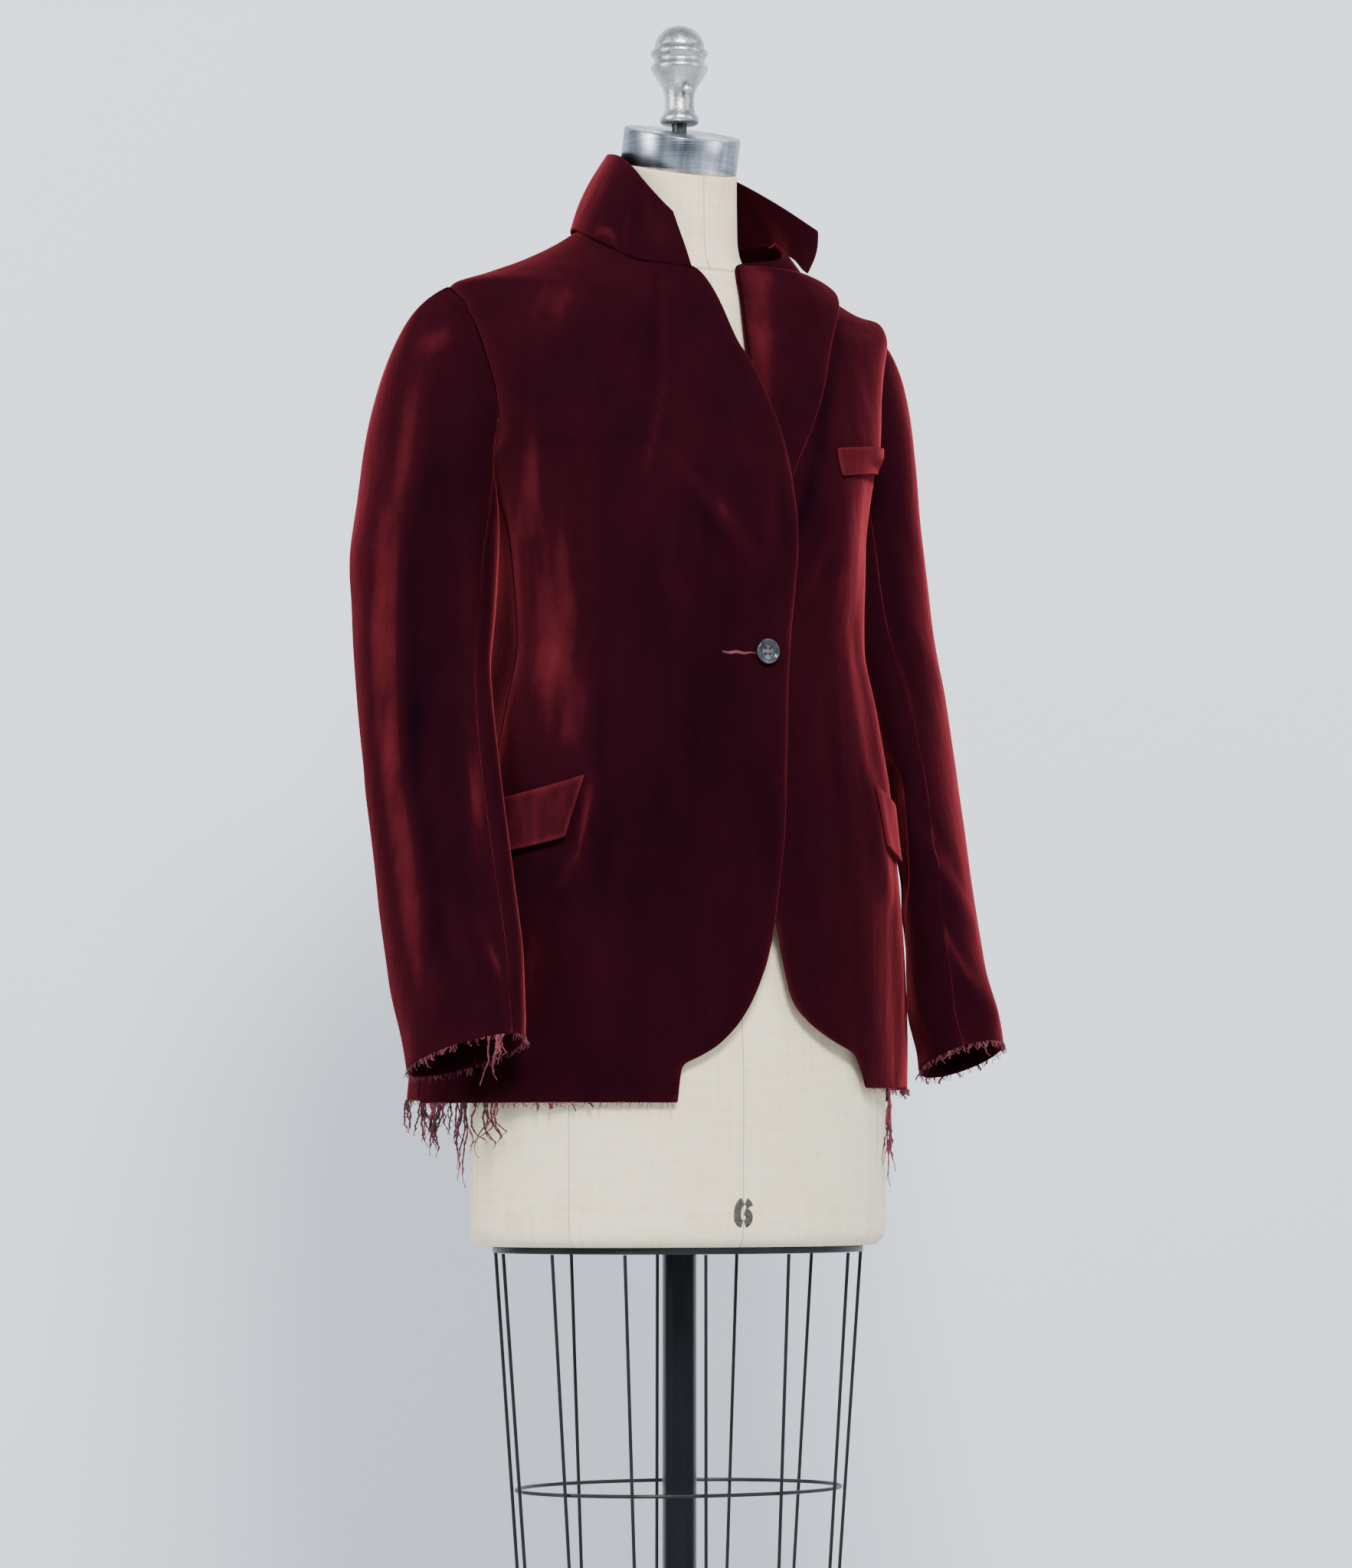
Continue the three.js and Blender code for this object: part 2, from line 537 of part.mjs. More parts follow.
// Both fronts, from the side seam, armhole and shoulder to the front edge and neckline.
function frontGrid(side, edge, heights, lift) {
  return heights.map((z) => {
    const seam = side * sideTurn('front', z);
    const middle = turnAt(columnAt(edge, 'x', z), z);
    return steps(seam, middle, frontColumns).map((turn) => {
      const x = columnAt(bodySections, 'half', z) * Math.sin(turn);
      return bodyPoint('front', turn, z, lift(x, z));
    });
  });
}
const hemHeights = (hem) => [hem, ...frontHeights.filter((z) => z > hem + 3)];
const rightFront = raiseShoulder(frontGrid(-1, rightEdge, hemHeights(rightHem), () => 0));
const rightFrontInside = innerFace(rightFront, fromAxis, clothWall, { first: 'y' });
add('front_right', wallFromRows(rightFront, rightFrontInside), velvet);
const leftFront = dipShoulder(frontGrid(1, leftEdge, hemHeights(leftHem), underlap));
const leftFrontInside = innerFace(leftFront, fromAxis, clothWall, { first: 'y' });
add('front_left', wallFromRows(leftFront, leftFrontInside), velvet);

// The two backs, parted at the centre-back seam.
const backHeights = [
  853, 900, 945, 984, 1024, 1065, 1110, 1160, 1210, 1247, 1285, 1320, 1349, 1356, 1365, 1380, 1402,
  1436, 1464, 1479, 1492, 1508, 1524, 1540,
];
const backColumns = 8;
const backGrid = backHeights.map((z) => {
  const middle = seamGap / 2 / columnAt(bodySections, 'half', z);
  return steps(middle, sideTurn('back', z), backColumns).map((turn) => bodyPoint('back', turn, z));
});
const leftBack = dipShoulder(backGrid);
const leftBackInside = innerFace(leftBack, fromAxis, clothWall, { first: 'x', last: 'y' });
add('back_left', wallFromRows(leftBack, leftBackInside), velvet);
const rightBack = raiseShoulder(mirrored(backGrid));
const rightBackInside = innerFace(rightBack, fromAxis, clothWall, { first: 'x', last: 'y' });
add('back_right', wallFromRows(rightBack, rightBackInside), velvet);
for (const [name, outer, inner, clumps] of [
  ['front_right', rightFront, rightFrontInside, frontRightClumps],
  ['front_left', leftFront, leftFrontInside, frontLeftClumps],
  ['back_left', leftBack, leftBackInside, backClumps],
  ['back_right', rightBack, rightBackInside, backClumps],
]) add(`fringe_${name}`, frayedEdge(outer[0], inner[0], strandsIn(clumps)), thread);

// The left lapel lies on the left front and rolls softly away from it.
const lapelHeights = [
  1268, 1297, 1327, 1348, 1368, 1388, 1407, 1430, 1451, 1466, 1480, 1495, 1500, 1505, 1509,
];
const lapelColumns = 6;
const lapelGrid = lapelHeights.map((z) => {
  const from = turnAt(columnAt(lapelRows, 'roll', z), z);
  const to = turnAt(columnAt(lapelRows, 'outer', z), z);
  return steps(0, 1, lapelColumns).map((share) => {
    const turn = THREE.MathUtils.lerp(from, to, share);
    const x = columnAt(bodySections, 'half', z) * Math.sin(turn);
    const clear = THREE.MathUtils.smoothstep(z, lapelRoll.low, lapelRoll.high);
    const roll = lapelRoll.height * Math.sin(Math.PI * (0.9 * share + 0.05)) * clear;
    return bodyPoint('front', turn, z, underlap(x, z) + layerGap + clothWall + roll);
  });
});
add('lapel_left', clothWallFrom(lapelGrid, fromAxis), velvet);

// The right lapel is turned to the inside and thickens the edge to a roll.
const turnedWidth = 25;
const turnedWall = 1.6;
const turnedHeights = [1297, 1323, 1349, 1365, 1396, 1425, 1443, 1472, 1487, 1494];
const turnedGrid = turnedHeights.map((z) => {
  const edge = columnAt(rightEdge, 'x', z) - 1;
  return steps(edge, edge - turnedWidth, 3).map((x) =>
    bodyPoint('front', turnAt(x, z), z, -clothWall - layerGap));
});
add('lapel_turned_right', clothWallFrom(turnedGrid, fromAxis, turnedWall), velvet);

// The collar stands up all round, leans to the neck and flares at its left tip.
const collarPath = (bottom) => new THREE.CatmullRomCurve3(collarStations.map((s) =>
  (bottom ? new THREE.Vector3(s.x, s.y, s.z) : new THREE.Vector3(s.topX, s.topY, s.topZ))));
const collarFoot = collarPath(true);
const collarEdge = collarPath(false);
const collarAlong = 26;
const collarUp = 3;
const collarGrid = steps(0, 1, collarUp).map((up) => steps(0, 1, collarAlong).map((along) => {
  const point = collarFoot.getPoint(along).lerp(collarEdge.getPoint(along), up);
  const bulge = collarBulge * Math.sin(Math.PI * up);
  return point.addScaledVector(fromAxis(point).normalize(), bulge);
}));
add('collar', clothWallFrom(collarGrid, fromAxis, collarWall), velvet);

// Sleeves: the head starts on the armhole and swells over the shoulder,
// then horizontal rings follow the forward bend down to a slanted cuff.
const shoulderTip = 1478;
const underarm = 1350;
const sleeveTopZ = 1345;
const cuffZ = 885;
const headRows = 5;
const armRows = 10;
function armholePoint(turn) {
  const rise = 0.5 + 0.5 * Math.cos(turn);
  const z = THREE.MathUtils.lerp(underarm, shoulderTip, rise);
  const front = Math.sin(turn) < 0;
  const half = columnAt(bodySections, 'half', z);
  const y = sideY(front ? 'front' : 'back', z);
  return new THREE.Vector3(half + sleeveHeadGap, y, z);
}
function armPoint(turn, z) {
  const section = (column) => columnAt(sleeveSections, column, z);
  const skew = section('skew');
  const x = section('x') + section('halfX') * Math.cos(turn);
  const across = skew * Math.cos(turn) + Math.sqrt(1 - skew * skew) * Math.sin(turn);
  const y = section('y') + section('halfY') * across;
  const low = THREE.MathUtils.smoothstep(sleeveTopZ - z, 250, sleeveTopZ - cuffZ);
  const tilt = cuffSlope * low * (y - section('y'));
  return clearOfBody(new THREE.Vector3(x, y, z - tilt));
}
// Tips one point of a sleeve, more the nearer it is to the cuff and the further out it is.
function leanOut(point, row, slope) {
  const z = THREE.MathUtils.lerp(sleeveTopZ, cuffZ, Math.max(row - headRows, 0) / armRows);
  const low = THREE.MathUtils.smoothstep(sleeveTopZ - z, 250, sleeveTopZ - cuffZ);
  return point.clone().setZ(point.z + slope * low * (point.x - columnAt(sleeveSections, 'x', z)));
}
const leaned = (grid, slope) => grid.map((points, row) => points.map((p) => leanOut(p, row, slope)));

// Keeps a point of the left sleeve outside the body's panels and the pocket flap.
function clearOfBody(point) {
  if (point.z >= shoulderTip) return point;
  const face = point.y < columnAt(bodySections, 'side', point.z) ? 'front' : 'back';
  const side = sideY(face, point.z);
  const reach = (point.y - side) / (columnAt(bodySections, face, point.z) - side);
  if (reach >= 1 || (reach < 0 && point.z > underarm)) return point;
  const wall = columnAt(bodySections, 'half', point.z) * Math.sqrt(1 - reach * reach);
  const { low, lowFull, highFull, high } = besideFlap;
  const beside = face === 'back' ? 0 : THREE.MathUtils.smoothstep(point.z, low, lowFull)
    * (1 - THREE.MathUtils.smoothstep(point.z, highFull, high));
  const { most, least, lowZ, highZ } = sleeveBodyClearance;
  const clearance = THREE.MathUtils.lerp(most, least, THREE.MathUtils.smoothstep(point.z, lowZ, highZ));
  point.x = Math.max(point.x, wall + clearance + sleeveFlapRoom * beside);
  return point;
}
function sleevePoint(turn, row) {
  if (row >= headRows) {
    const t = (row - headRows) / armRows;
    return armPoint(turn, THREE.MathUtils.lerp(sleeveTopZ, cuffZ, t));
  }
  const t = row / headRows;
  const start = armholePoint(turn);
  const end = armPoint(turn, sleeveTopZ);
  const corner = new THREE.Vector3(
    THREE.MathUtils.lerp(start.x, end.x, 0.85),
    THREE.MathUtils.lerp(start.y, end.y, 0.85),
    THREE.MathUtils.lerp(start.z, end.z, 0.15),
  );
  const point = start.clone().multiplyScalar((1 - t) ** 2)
    .addScaledVector(corner, 2 * t * (1 - t)).addScaledVector(end, t * t);
  return row === 0 ? start : clearOfBody(point);
}
// Places of the sleeve's two seams, turned from the outward side towards the back.
const frontSeamTurn = THREE.MathUtils.degToRad(-120);
const backSeamTurn = THREE.MathUtils.degToRad(120);
const sleeveGapTurn = 0.0045;
// A sleeve panel's grid, with a spare column past each seam that only steers the wall.
function sleeveGrid(from, to, columns) {
  const rows = steps(0, headRows + armRows, headRows + armRows);
  const near = 0.12;
  const inside = steps(from + near, to - near, columns);
  const turns = [from - near, from, ...inside, to, to + near];
  return rows.map((row) => turns.map((turn) => sleevePoint(turn, row)));
}
// The rough direction out of a sleeve, which leans up over its head.
function sleeveAxis(point) {
  const z = THREE.MathUtils.clamp(point.z, cuffZ, sleeveTopZ);
  const overHead = Math.max(point.z - sleeveTopZ, 0);
  const away = new THREE.Vector3(
    Math.abs(point.x) - columnAt(sleeveSections, 'x', z) + (overHead > 0 ? 20 : 0),
    point.y - columnAt(sleeveSections, 'y', z),
    0.6 * overHead,
  );
  away.x *= Math.sign(point.x);
  return away;
}
const upperSleeve = sleeveGrid(frontSeamTurn + sleeveGapTurn, backSeamTurn - sleeveGapTurn, 11);
const underSleeve = sleeveGrid(
  backSeamTurn + sleeveGapTurn,
  2 * Math.PI + frontSeamTurn - sleeveGapTurn,
  4,
);
const leftSleeve = (grid) => hangFurtherOut(leaned(grid, cuffLean.left));
const rightSleeve = (grid) => raiseShoulder(mirrored(leaned(grid, cuffLean.right)));
for (const [side, hang] of [['left', leftSleeve], ['right', rightSleeve]]) {
  for (const [part, grid] of [['upper', hang(upperSleeve)], ['under', hang(underSleeve)]]) {
    const inside = innerFace(grid, sleeveAxis);
    const trim = (row) => row.slice(1, -1);
    add(`sleeve_${part}_${side}`, wallFromRows(grid.map(trim), inside.map(trim)), velvet);
    if (part === 'upper') {
      const [outer, inner] = [grid.at(-1), inside.at(-1)].map(trim);
      add(`fringe_cuff_${side}`, frayedEdge(outer, inner, strandsIn(cuffClumps)), thread);
    }
  }
}

// A patch laid on a front between two edges, each given by its top and bottom X.
function patchOnFront(side, patch, thickness, lift) {
  const grid = steps(0, 1, patch.rows).map((down) => steps(0, 1, patch.columns).map((across) => {
    const topX = THREE.MathUtils.lerp(patch.topIn.x, patch.topOut.x, across);
    const topZ = THREE.MathUtils.lerp(patch.topIn.z, patch.topOut.z, across);
    const lowX = THREE.MathUtils.lerp(patch.lowIn.x, patch.lowOut.x, across);
    const lowZ = THREE.MathUtils.lerp(patch.lowIn.z, patch.lowOut.z, across);
    const x = THREE.MathUtils.lerp(topX, lowX, down);
    const z = THREE.MathUtils.lerp(topZ, lowZ, down);
    return bodyPoint('front', side * Math.abs(turnAt(x, z)), z, lift + thickness + patch.stand * down);
  }));
  return clothWallFrom(grid, fromAxis, thickness);
}
const flapWall = 2.4;
const flapLift = 1.0;
const weltLift = 1.3;
const pocketFlap = {
  topIn: { x: 121, z: 1100 }, topOut: { x: 170, z: 1083 },
  lowIn: { x: 132, z: 1052 }, lowOut: { x: 172.5, z: 1040 },
  rows: 4, columns: 7, stand: 3.5,
};
const closeFlap = { ...pocketFlap, stand: 0.8 };
add('flap_right', patchOnFront(-1, pocketFlap, flapWall, flapLift), velvet);
add('flap_left', patchOnFront(1, closeFlap, flapWall, flapLift), velvet);
const breastWelt = {
  topIn: { x: 85, z: 1361 }, topOut: { x: 152, z: 1371 },
  lowIn: { x: 88, z: 1339 }, lowOut: { x: 150, z: 1350 },
  rows: 2, columns: 6, stand: 0,
};
add('breast_welt', patchOnFront(1, breastWelt, clothWall, weltLift), velvet);

// A sewn button with a raised rim, facing out of the cloth.
function buttonGeometry(radius, height) {
  const profile = [
    [0, 0], [radius * 0.7, 0], [radius, height * 0.45], [radius * 0.96, height * 0.85],
    [radius * 0.84, height], [radius * 0.7, height * 0.72], [0, height * 0.62],
  ].map(([r, h]) => new THREE.Vector2(r, h));
  return new THREE.LatheGeometry(profile, 16).rotateX(Math.PI / 2);
}
function placeButton(name, point, outwards, size) {
  const mesh = add(name, buttonGeometry(size.radius, size.height), horn);
  mesh.quaternion.setFromUnitVectors(new THREE.Vector3(0, 0, 1), outwards);
  mesh.position.copy(point).addScaledVector(outwards, size.lift);
}
const frontButton = { x: 16, z: 1197, radius: 10, height: 4, lift: 0.7 };
const frontButtonTurn = turnAt(frontButton.x, frontButton.z);
const frontButtonOut = new THREE.Vector3(Math.sin(frontButtonTurn), -Math.cos(frontButtonTurn), 0);
placeButton('button_front', bodyPoint('front', frontButtonTurn, frontButton.z), frontButtonOut, frontButton);

const cuffButton = { degrees: 68, row: 14.25, radius: 9.5, height: 3.6, lift: 1.05 };
const cuffButtonTurn = THREE.MathUtils.degToRad(cuffButton.degrees);
const cuffButtonPlace = sleevePoint(cuffButtonTurn, cuffButton.row);
const round = sleevePoint(cuffButtonTurn + 0.1, cuffButton.row)
  .sub(sleevePoint(cuffButtonTurn - 0.1, cuffButton.row));
const upwards = sleevePoint(cuffButtonTurn, cuffButton.row - 0.5)
  .sub(sleevePoint(cuffButtonTurn, cuffButton.row + 0.5));
const cuffButtonOut = round.cross(upwards).normalize();
const otherSide = (point) => point.clone().setX(-point.x);
const leanedButton = (slope) => leanOut(cuffButtonPlace, cuffButton.row, slope);
const leftButtonPlace = hangFurtherOut([[leanedButton(cuffLean.left)]])[0][0];
const rightButtonPlace = otherSide(leanedButton(cuffLean.right));
placeButton('button_cuff_left', leftButtonPlace, cuffButtonOut, cuffButton);
placeButton('button_cuff_right', rightButtonPlace, otherSide(cuffButtonOut), cuffButton);

// Dress form: torso, neck, tilted cap, rod and finial.
const formSegments = 30;
const turnsRound = (count) => steps(0, 2 * Math.PI, count).slice(0, count);
const ellipse = (half, front, back, z, count) => turnsRound(count).map((turn) => {
  const depth = Math.sin(turn) < 0 ? -front : back;
  return new THREE.Vector3(half * Math.cos(turn), depth * Math.sin(turn), z);
});
const formHeights = [
  740, 744, 752, 800, 860, 900, 940, 980, 1020, 1060, 1100, 1160, 1220, 1270, 1330, 1400, 1440,
  1462, 1480, 1493, 1503,
];
const formRings = formHeights.map((z) => {
  const [half, front, back] = ['half', 'front', 'back'].map((name) => columnAt(formSections, name, z));
  return ellipse(half, front, back, z, formSegments);
});
add('form_torso', ringSolid(formRings), linen);

const capPlane = (point, drop) => {
  const top = capTopCentre.z - drop / Math.cos(capTilt);
  return top + (point.y - capTopCentre.y) * Math.tan(capTilt);
};
const roundSegments = 32;
const neckRings = neckSections.map((s) =>
  ellipse(s.half, -s.depth, s.depth, formNeckSeam + s.rise, roundSegments));
const neckTop = ellipse(neckRadius, -neckRadius, neckRadius, 0, roundSegments);
for (const point of neckTop) point.z = capPlane(point, capHeight) - neighbourGap;
add('form_neck', ringSolid([...neckRings, neckTop]), linen);

const capRing = (radius, drop) => ellipse(radius, -radius, radius, 0, roundSegments).map((p) => {
  const flat = new THREE.Vector3(p.x, p.y * Math.cos(capTilt), p.y * Math.sin(capTilt));
  const down = new THREE.Vector3(0, Math.sin(capTilt), -Math.cos(capTilt)).multiplyScalar(drop);
  return flat.add(down).add(new THREE.Vector3(0, capTopCentre.y, capTopCentre.z));
});
const capEdge = 1.2;
const capTop = [capRing(capRadius, capEdge), capRing(capRadius - capEdge, 0)];
add('neck_cap', ringSolid([capRing(capRadius, capHeight), ...capTop]), brushed);

const rodSides = 16;
const rodTop = ellipse(rodRadius, -rodRadius, rodRadius, finialBottom - neighbourGap, rodSides);
const rodFoot = rodTop.map((point) => point.clone().setZ(capPlane(point, 0) + neighbourGap));
add('finial_rod', ringSolid([rodFoot, rodTop]), blackEnamel);

// A solid of revolution about the upright axis from radius and height pairs.
function turned(pairs, sides) {
  const profile = pairs.map(([radius, height]) => new THREE.Vector2(radius, height));
  return new THREE.LatheGeometry(profile, sides).rotateX(Math.PI / 2);
}
const finialPairs = finialProfile.map((row) => [row.radius, row.rise]);
const finial = add('finial', turned([[0, 0], ...finialPairs, [0, finialTop]], 18), castMetal);
finial.position.z = finialBottom;
const screwPairs = [[0, 0], [2, 0], [2, 3], [4, 3], [4.3, 4.5], [4, 6], [0, 6.6]];
const screwStart = { out: 13.4, rise: 25, degrees: -2 };
const screw = add('finial_screw', turned(screwPairs, 12), castMetal);
const screwTurn = THREE.MathUtils.degToRad(screwStart.degrees);
const screwOut = new THREE.Vector3(Math.sin(screwTurn), -Math.cos(screwTurn), 0);
screw.quaternion.setFromUnitVectors(new THREE.Vector3(0, 0, 1), screwOut);
screw.position.copy(screwOut).multiplyScalar(screwStart.out).setZ(finialBottom + screwStart.rise);

// Plate under the form, pole, socket and base.
const plateTop = formBottom - neighbourGap;
const plateUnder = plateTop - plateThickness;
const plateRing = (z) => ellipse(plateHalf.x, -plateHalf.front, plateHalf.back, z, formSegments);
add('form_plate', ringSolid([plateRing(plateUnder), plateRing(plateTop)]), blackEnamel);
const poleSides = 20;
const poleRing = (z) => ellipse(poleRadius, -poleRadius, poleRadius, z, poleSides);
const poleRings = [poleRing(baseHeight + neighbourGap), poleRing(plateUnder - neighbourGap)];
add('pole', ringSolid(poleRings), blackEnamel);
const socketInner = poleRadius + neighbourGap;
const socketPairs = [
  [socketInner, 0], [30, 0], [30, 8], [22, 12], [20, socketHeight], [socketInner, socketHeight],
];
const socket = add('pole_socket', turned([...socketPairs, socketPairs[0]], poleSides), blackEnamel);
socket.position.z = baseHeight + neighbourGap;
const basePairs = [
  [0, 0], [baseRadius - 4, 0], [baseRadius, 4], [baseRadius, 10], [baseRadius - 8, 15],
  [60, baseHeight], [0, baseHeight],
];
add('base', turned(basePairs, 36), blackEnamel);

// Cage: wires from the plate down to the bottom ring, with a ring inside them.
const wireTopZ = plateUnder - neighbourGap;
function wirePoint(turn, z) {
  const rise = (z - cageBottom.z) / (wireTopZ - cageBottom.z);
  const halfX = THREE.MathUtils.lerp(cageBottom.x, cageTop.x, rise);
  const halfY = THREE.MathUtils.lerp(cageBottom.y, cageTop.y, rise);
  return new THREE.Vector3(halfX * Math.cos(turn), halfY * Math.sin(turn), z);
}
cageWireTurns.forEach((degrees, index) => {
  const rings = [cageBottom.z - 2, wireTopZ].map((z) => {
    const centre = wirePoint(THREE.MathUtils.degToRad(degrees), z);
    return ellipse(cageWireRadius, -cageWireRadius, cageWireRadius, 0, 6).map((p) => p.add(centre));
  });
  add(`cage_wire_${String(index + 1).padStart(2, '0')}`, ringSolid(rings), blackEnamel);
});
function cageRing(name, z) {
  const along = 32;
  const around = 5;
  const positions = [];
  for (const turn of turnsRound(along)) {
    const centre = wirePoint(turn, z);
    const out = fromAxis(centre).normalize();
    centre.addScaledVector(out, -2 * cageWireRadius - cageRingGap);
    for (const roll of turnsRound(around)) {
      const point = centre.clone().addScaledVector(out, cageWireRadius * Math.cos(roll));
      positions.push(point.x, point.y, point.z + cageWireRadius * Math.sin(roll));
    }
  }
  const faces = [];
  for (let i = 0; i < along; i += 1) {
    const nextRing = ((i + 1) % along) * around;
    for (let j = 0; j < around; j += 1) {
      const next = (j + 1) % around;
      faces.push(i * around + j, nextRing + j, nextRing + next);
      faces.push(i * around + j, nextRing + next, i * around + next);
    }
  }
  add(name, closedGeometry(positions, faces), blackEnamel);
}
cageRing('cage_ring_middle', cageMiddleZ);
cageRing('cage_ring_bottom', cageBottom.z);

export default jacket;
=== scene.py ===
# %% [markdown]
# A burgundy velvet hacking jacket is shown on a linen dress form with a wire cage and a pole.
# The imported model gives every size, so the first step loads it and keeps its box. All the
# dressed pieces are then made on the same named sizes, in metres, with the floor at zero, the
# form facing -Y and the wearer's right at -X.

# %% Load the frame
import bisect
import json
import math
import random

import bmesh
import bpy
from mathutils import Matrix, Vector, noise
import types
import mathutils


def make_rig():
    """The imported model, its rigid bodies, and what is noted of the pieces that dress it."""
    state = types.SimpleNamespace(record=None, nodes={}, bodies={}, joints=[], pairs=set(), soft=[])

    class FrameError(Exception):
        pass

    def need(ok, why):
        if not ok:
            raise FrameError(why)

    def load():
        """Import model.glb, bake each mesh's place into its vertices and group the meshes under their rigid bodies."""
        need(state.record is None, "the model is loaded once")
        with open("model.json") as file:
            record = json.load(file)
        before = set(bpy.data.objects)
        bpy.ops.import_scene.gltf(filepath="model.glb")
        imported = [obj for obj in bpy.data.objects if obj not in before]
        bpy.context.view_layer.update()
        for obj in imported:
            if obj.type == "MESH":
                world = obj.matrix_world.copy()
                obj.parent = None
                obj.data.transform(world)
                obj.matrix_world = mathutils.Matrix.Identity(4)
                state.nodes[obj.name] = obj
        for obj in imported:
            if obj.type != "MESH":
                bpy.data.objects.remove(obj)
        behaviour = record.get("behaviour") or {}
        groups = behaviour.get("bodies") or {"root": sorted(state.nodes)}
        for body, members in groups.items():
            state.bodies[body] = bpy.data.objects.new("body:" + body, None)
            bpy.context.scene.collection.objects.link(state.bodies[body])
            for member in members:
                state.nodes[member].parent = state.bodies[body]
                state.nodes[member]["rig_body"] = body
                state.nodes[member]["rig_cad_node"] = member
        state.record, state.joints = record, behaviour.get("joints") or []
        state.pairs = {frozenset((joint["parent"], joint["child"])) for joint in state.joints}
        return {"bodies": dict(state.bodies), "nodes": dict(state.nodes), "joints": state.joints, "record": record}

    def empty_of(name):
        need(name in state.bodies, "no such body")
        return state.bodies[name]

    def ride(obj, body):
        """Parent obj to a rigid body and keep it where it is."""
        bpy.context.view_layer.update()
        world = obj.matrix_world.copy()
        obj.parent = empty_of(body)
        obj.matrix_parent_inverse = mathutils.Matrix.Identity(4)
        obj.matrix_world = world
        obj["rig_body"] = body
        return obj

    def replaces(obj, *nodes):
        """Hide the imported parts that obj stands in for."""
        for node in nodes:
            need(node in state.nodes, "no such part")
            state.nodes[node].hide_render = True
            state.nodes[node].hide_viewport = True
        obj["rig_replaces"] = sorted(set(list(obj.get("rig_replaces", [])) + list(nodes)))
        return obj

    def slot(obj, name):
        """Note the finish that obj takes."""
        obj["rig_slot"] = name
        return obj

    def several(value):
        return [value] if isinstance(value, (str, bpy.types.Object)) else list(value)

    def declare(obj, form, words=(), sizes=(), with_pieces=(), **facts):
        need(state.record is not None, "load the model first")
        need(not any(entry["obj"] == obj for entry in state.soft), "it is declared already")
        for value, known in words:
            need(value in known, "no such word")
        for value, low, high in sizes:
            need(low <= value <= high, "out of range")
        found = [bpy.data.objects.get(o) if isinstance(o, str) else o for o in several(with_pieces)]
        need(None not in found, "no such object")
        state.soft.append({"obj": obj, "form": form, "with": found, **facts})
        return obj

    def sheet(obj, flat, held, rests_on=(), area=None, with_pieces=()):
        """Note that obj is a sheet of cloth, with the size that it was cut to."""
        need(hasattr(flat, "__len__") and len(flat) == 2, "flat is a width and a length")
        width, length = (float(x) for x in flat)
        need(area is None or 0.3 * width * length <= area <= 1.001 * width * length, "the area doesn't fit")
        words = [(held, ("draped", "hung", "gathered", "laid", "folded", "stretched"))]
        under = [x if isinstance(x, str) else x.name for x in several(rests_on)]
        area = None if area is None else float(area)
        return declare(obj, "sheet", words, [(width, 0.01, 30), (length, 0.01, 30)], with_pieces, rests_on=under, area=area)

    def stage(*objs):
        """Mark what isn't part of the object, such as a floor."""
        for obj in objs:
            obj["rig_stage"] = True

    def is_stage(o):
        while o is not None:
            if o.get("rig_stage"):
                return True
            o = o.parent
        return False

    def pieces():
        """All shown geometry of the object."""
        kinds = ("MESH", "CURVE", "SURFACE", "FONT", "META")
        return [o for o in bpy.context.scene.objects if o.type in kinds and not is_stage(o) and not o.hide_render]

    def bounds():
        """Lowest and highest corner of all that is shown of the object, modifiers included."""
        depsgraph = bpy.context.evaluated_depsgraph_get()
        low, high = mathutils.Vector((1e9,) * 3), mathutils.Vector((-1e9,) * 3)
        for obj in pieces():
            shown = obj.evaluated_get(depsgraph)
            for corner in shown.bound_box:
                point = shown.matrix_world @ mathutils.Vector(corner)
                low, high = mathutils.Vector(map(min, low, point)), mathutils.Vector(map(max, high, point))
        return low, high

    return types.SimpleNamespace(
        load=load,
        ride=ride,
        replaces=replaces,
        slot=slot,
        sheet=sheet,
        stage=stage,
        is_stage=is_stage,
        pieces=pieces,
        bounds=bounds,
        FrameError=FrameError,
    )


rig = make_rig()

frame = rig.load()
cad_box = [list(corner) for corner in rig.bounds()]
MM = 0.001
print("CAD box in metres:", cad_box)

# %% [markdown]
# The photograph is taken from the wearer's right front, from just below the height of the hem
# and tipped up a little. The camera's place and lens were worked out from the form's size. A lens
# of nearly 140 mm keeps the sides of the form almost parallel, as they are in the picture.

# %% Camera
VIEW_TURN = math.radians(-25)
VIEW_TILT = math.radians(4.005)
VIEW_DISTANCE = 4.1
EYE_HEIGHT = 0.815
SIDEWAYS = -0.00271
SENSOR = 36
FOCAL_PIXELS = 6806
PICTURE_PIXELS = 1765
FARTHEST = 40
forward = Vector((-math.sin(VIEW_TURN), math.cos(VIEW_TURN), 0))
sideways = Vector((math.cos(VIEW_TURN), math.sin(VIEW_TURN), 0))
lens = bpy.data.cameras.new("camera")
lens.sensor_fit = "HORIZONTAL"
lens.sensor_width = SENSOR
lens.lens = SENSOR * FOCAL_PIXELS / PICTURE_PIXELS
lens.clip_end = FARTHEST
camera = bpy.data.objects.new("camera", lens)
camera.location = -VIEW_DISTANCE * forward + Vector((0, 0, EYE_HEIGHT)) + SIDEWAYS * sideways
look = forward * math.cos(VIEW_TILT) + Vector((0, 0, math.sin(VIEW_TILT)))
camera.rotation_euler = look.to_track_quat("-Z", "Y").to_euler()
bpy.context.collection.objects.link(camera)
bpy.context.scene.camera = camera
print("camera at", [round(c, 3) for c in camera.location])

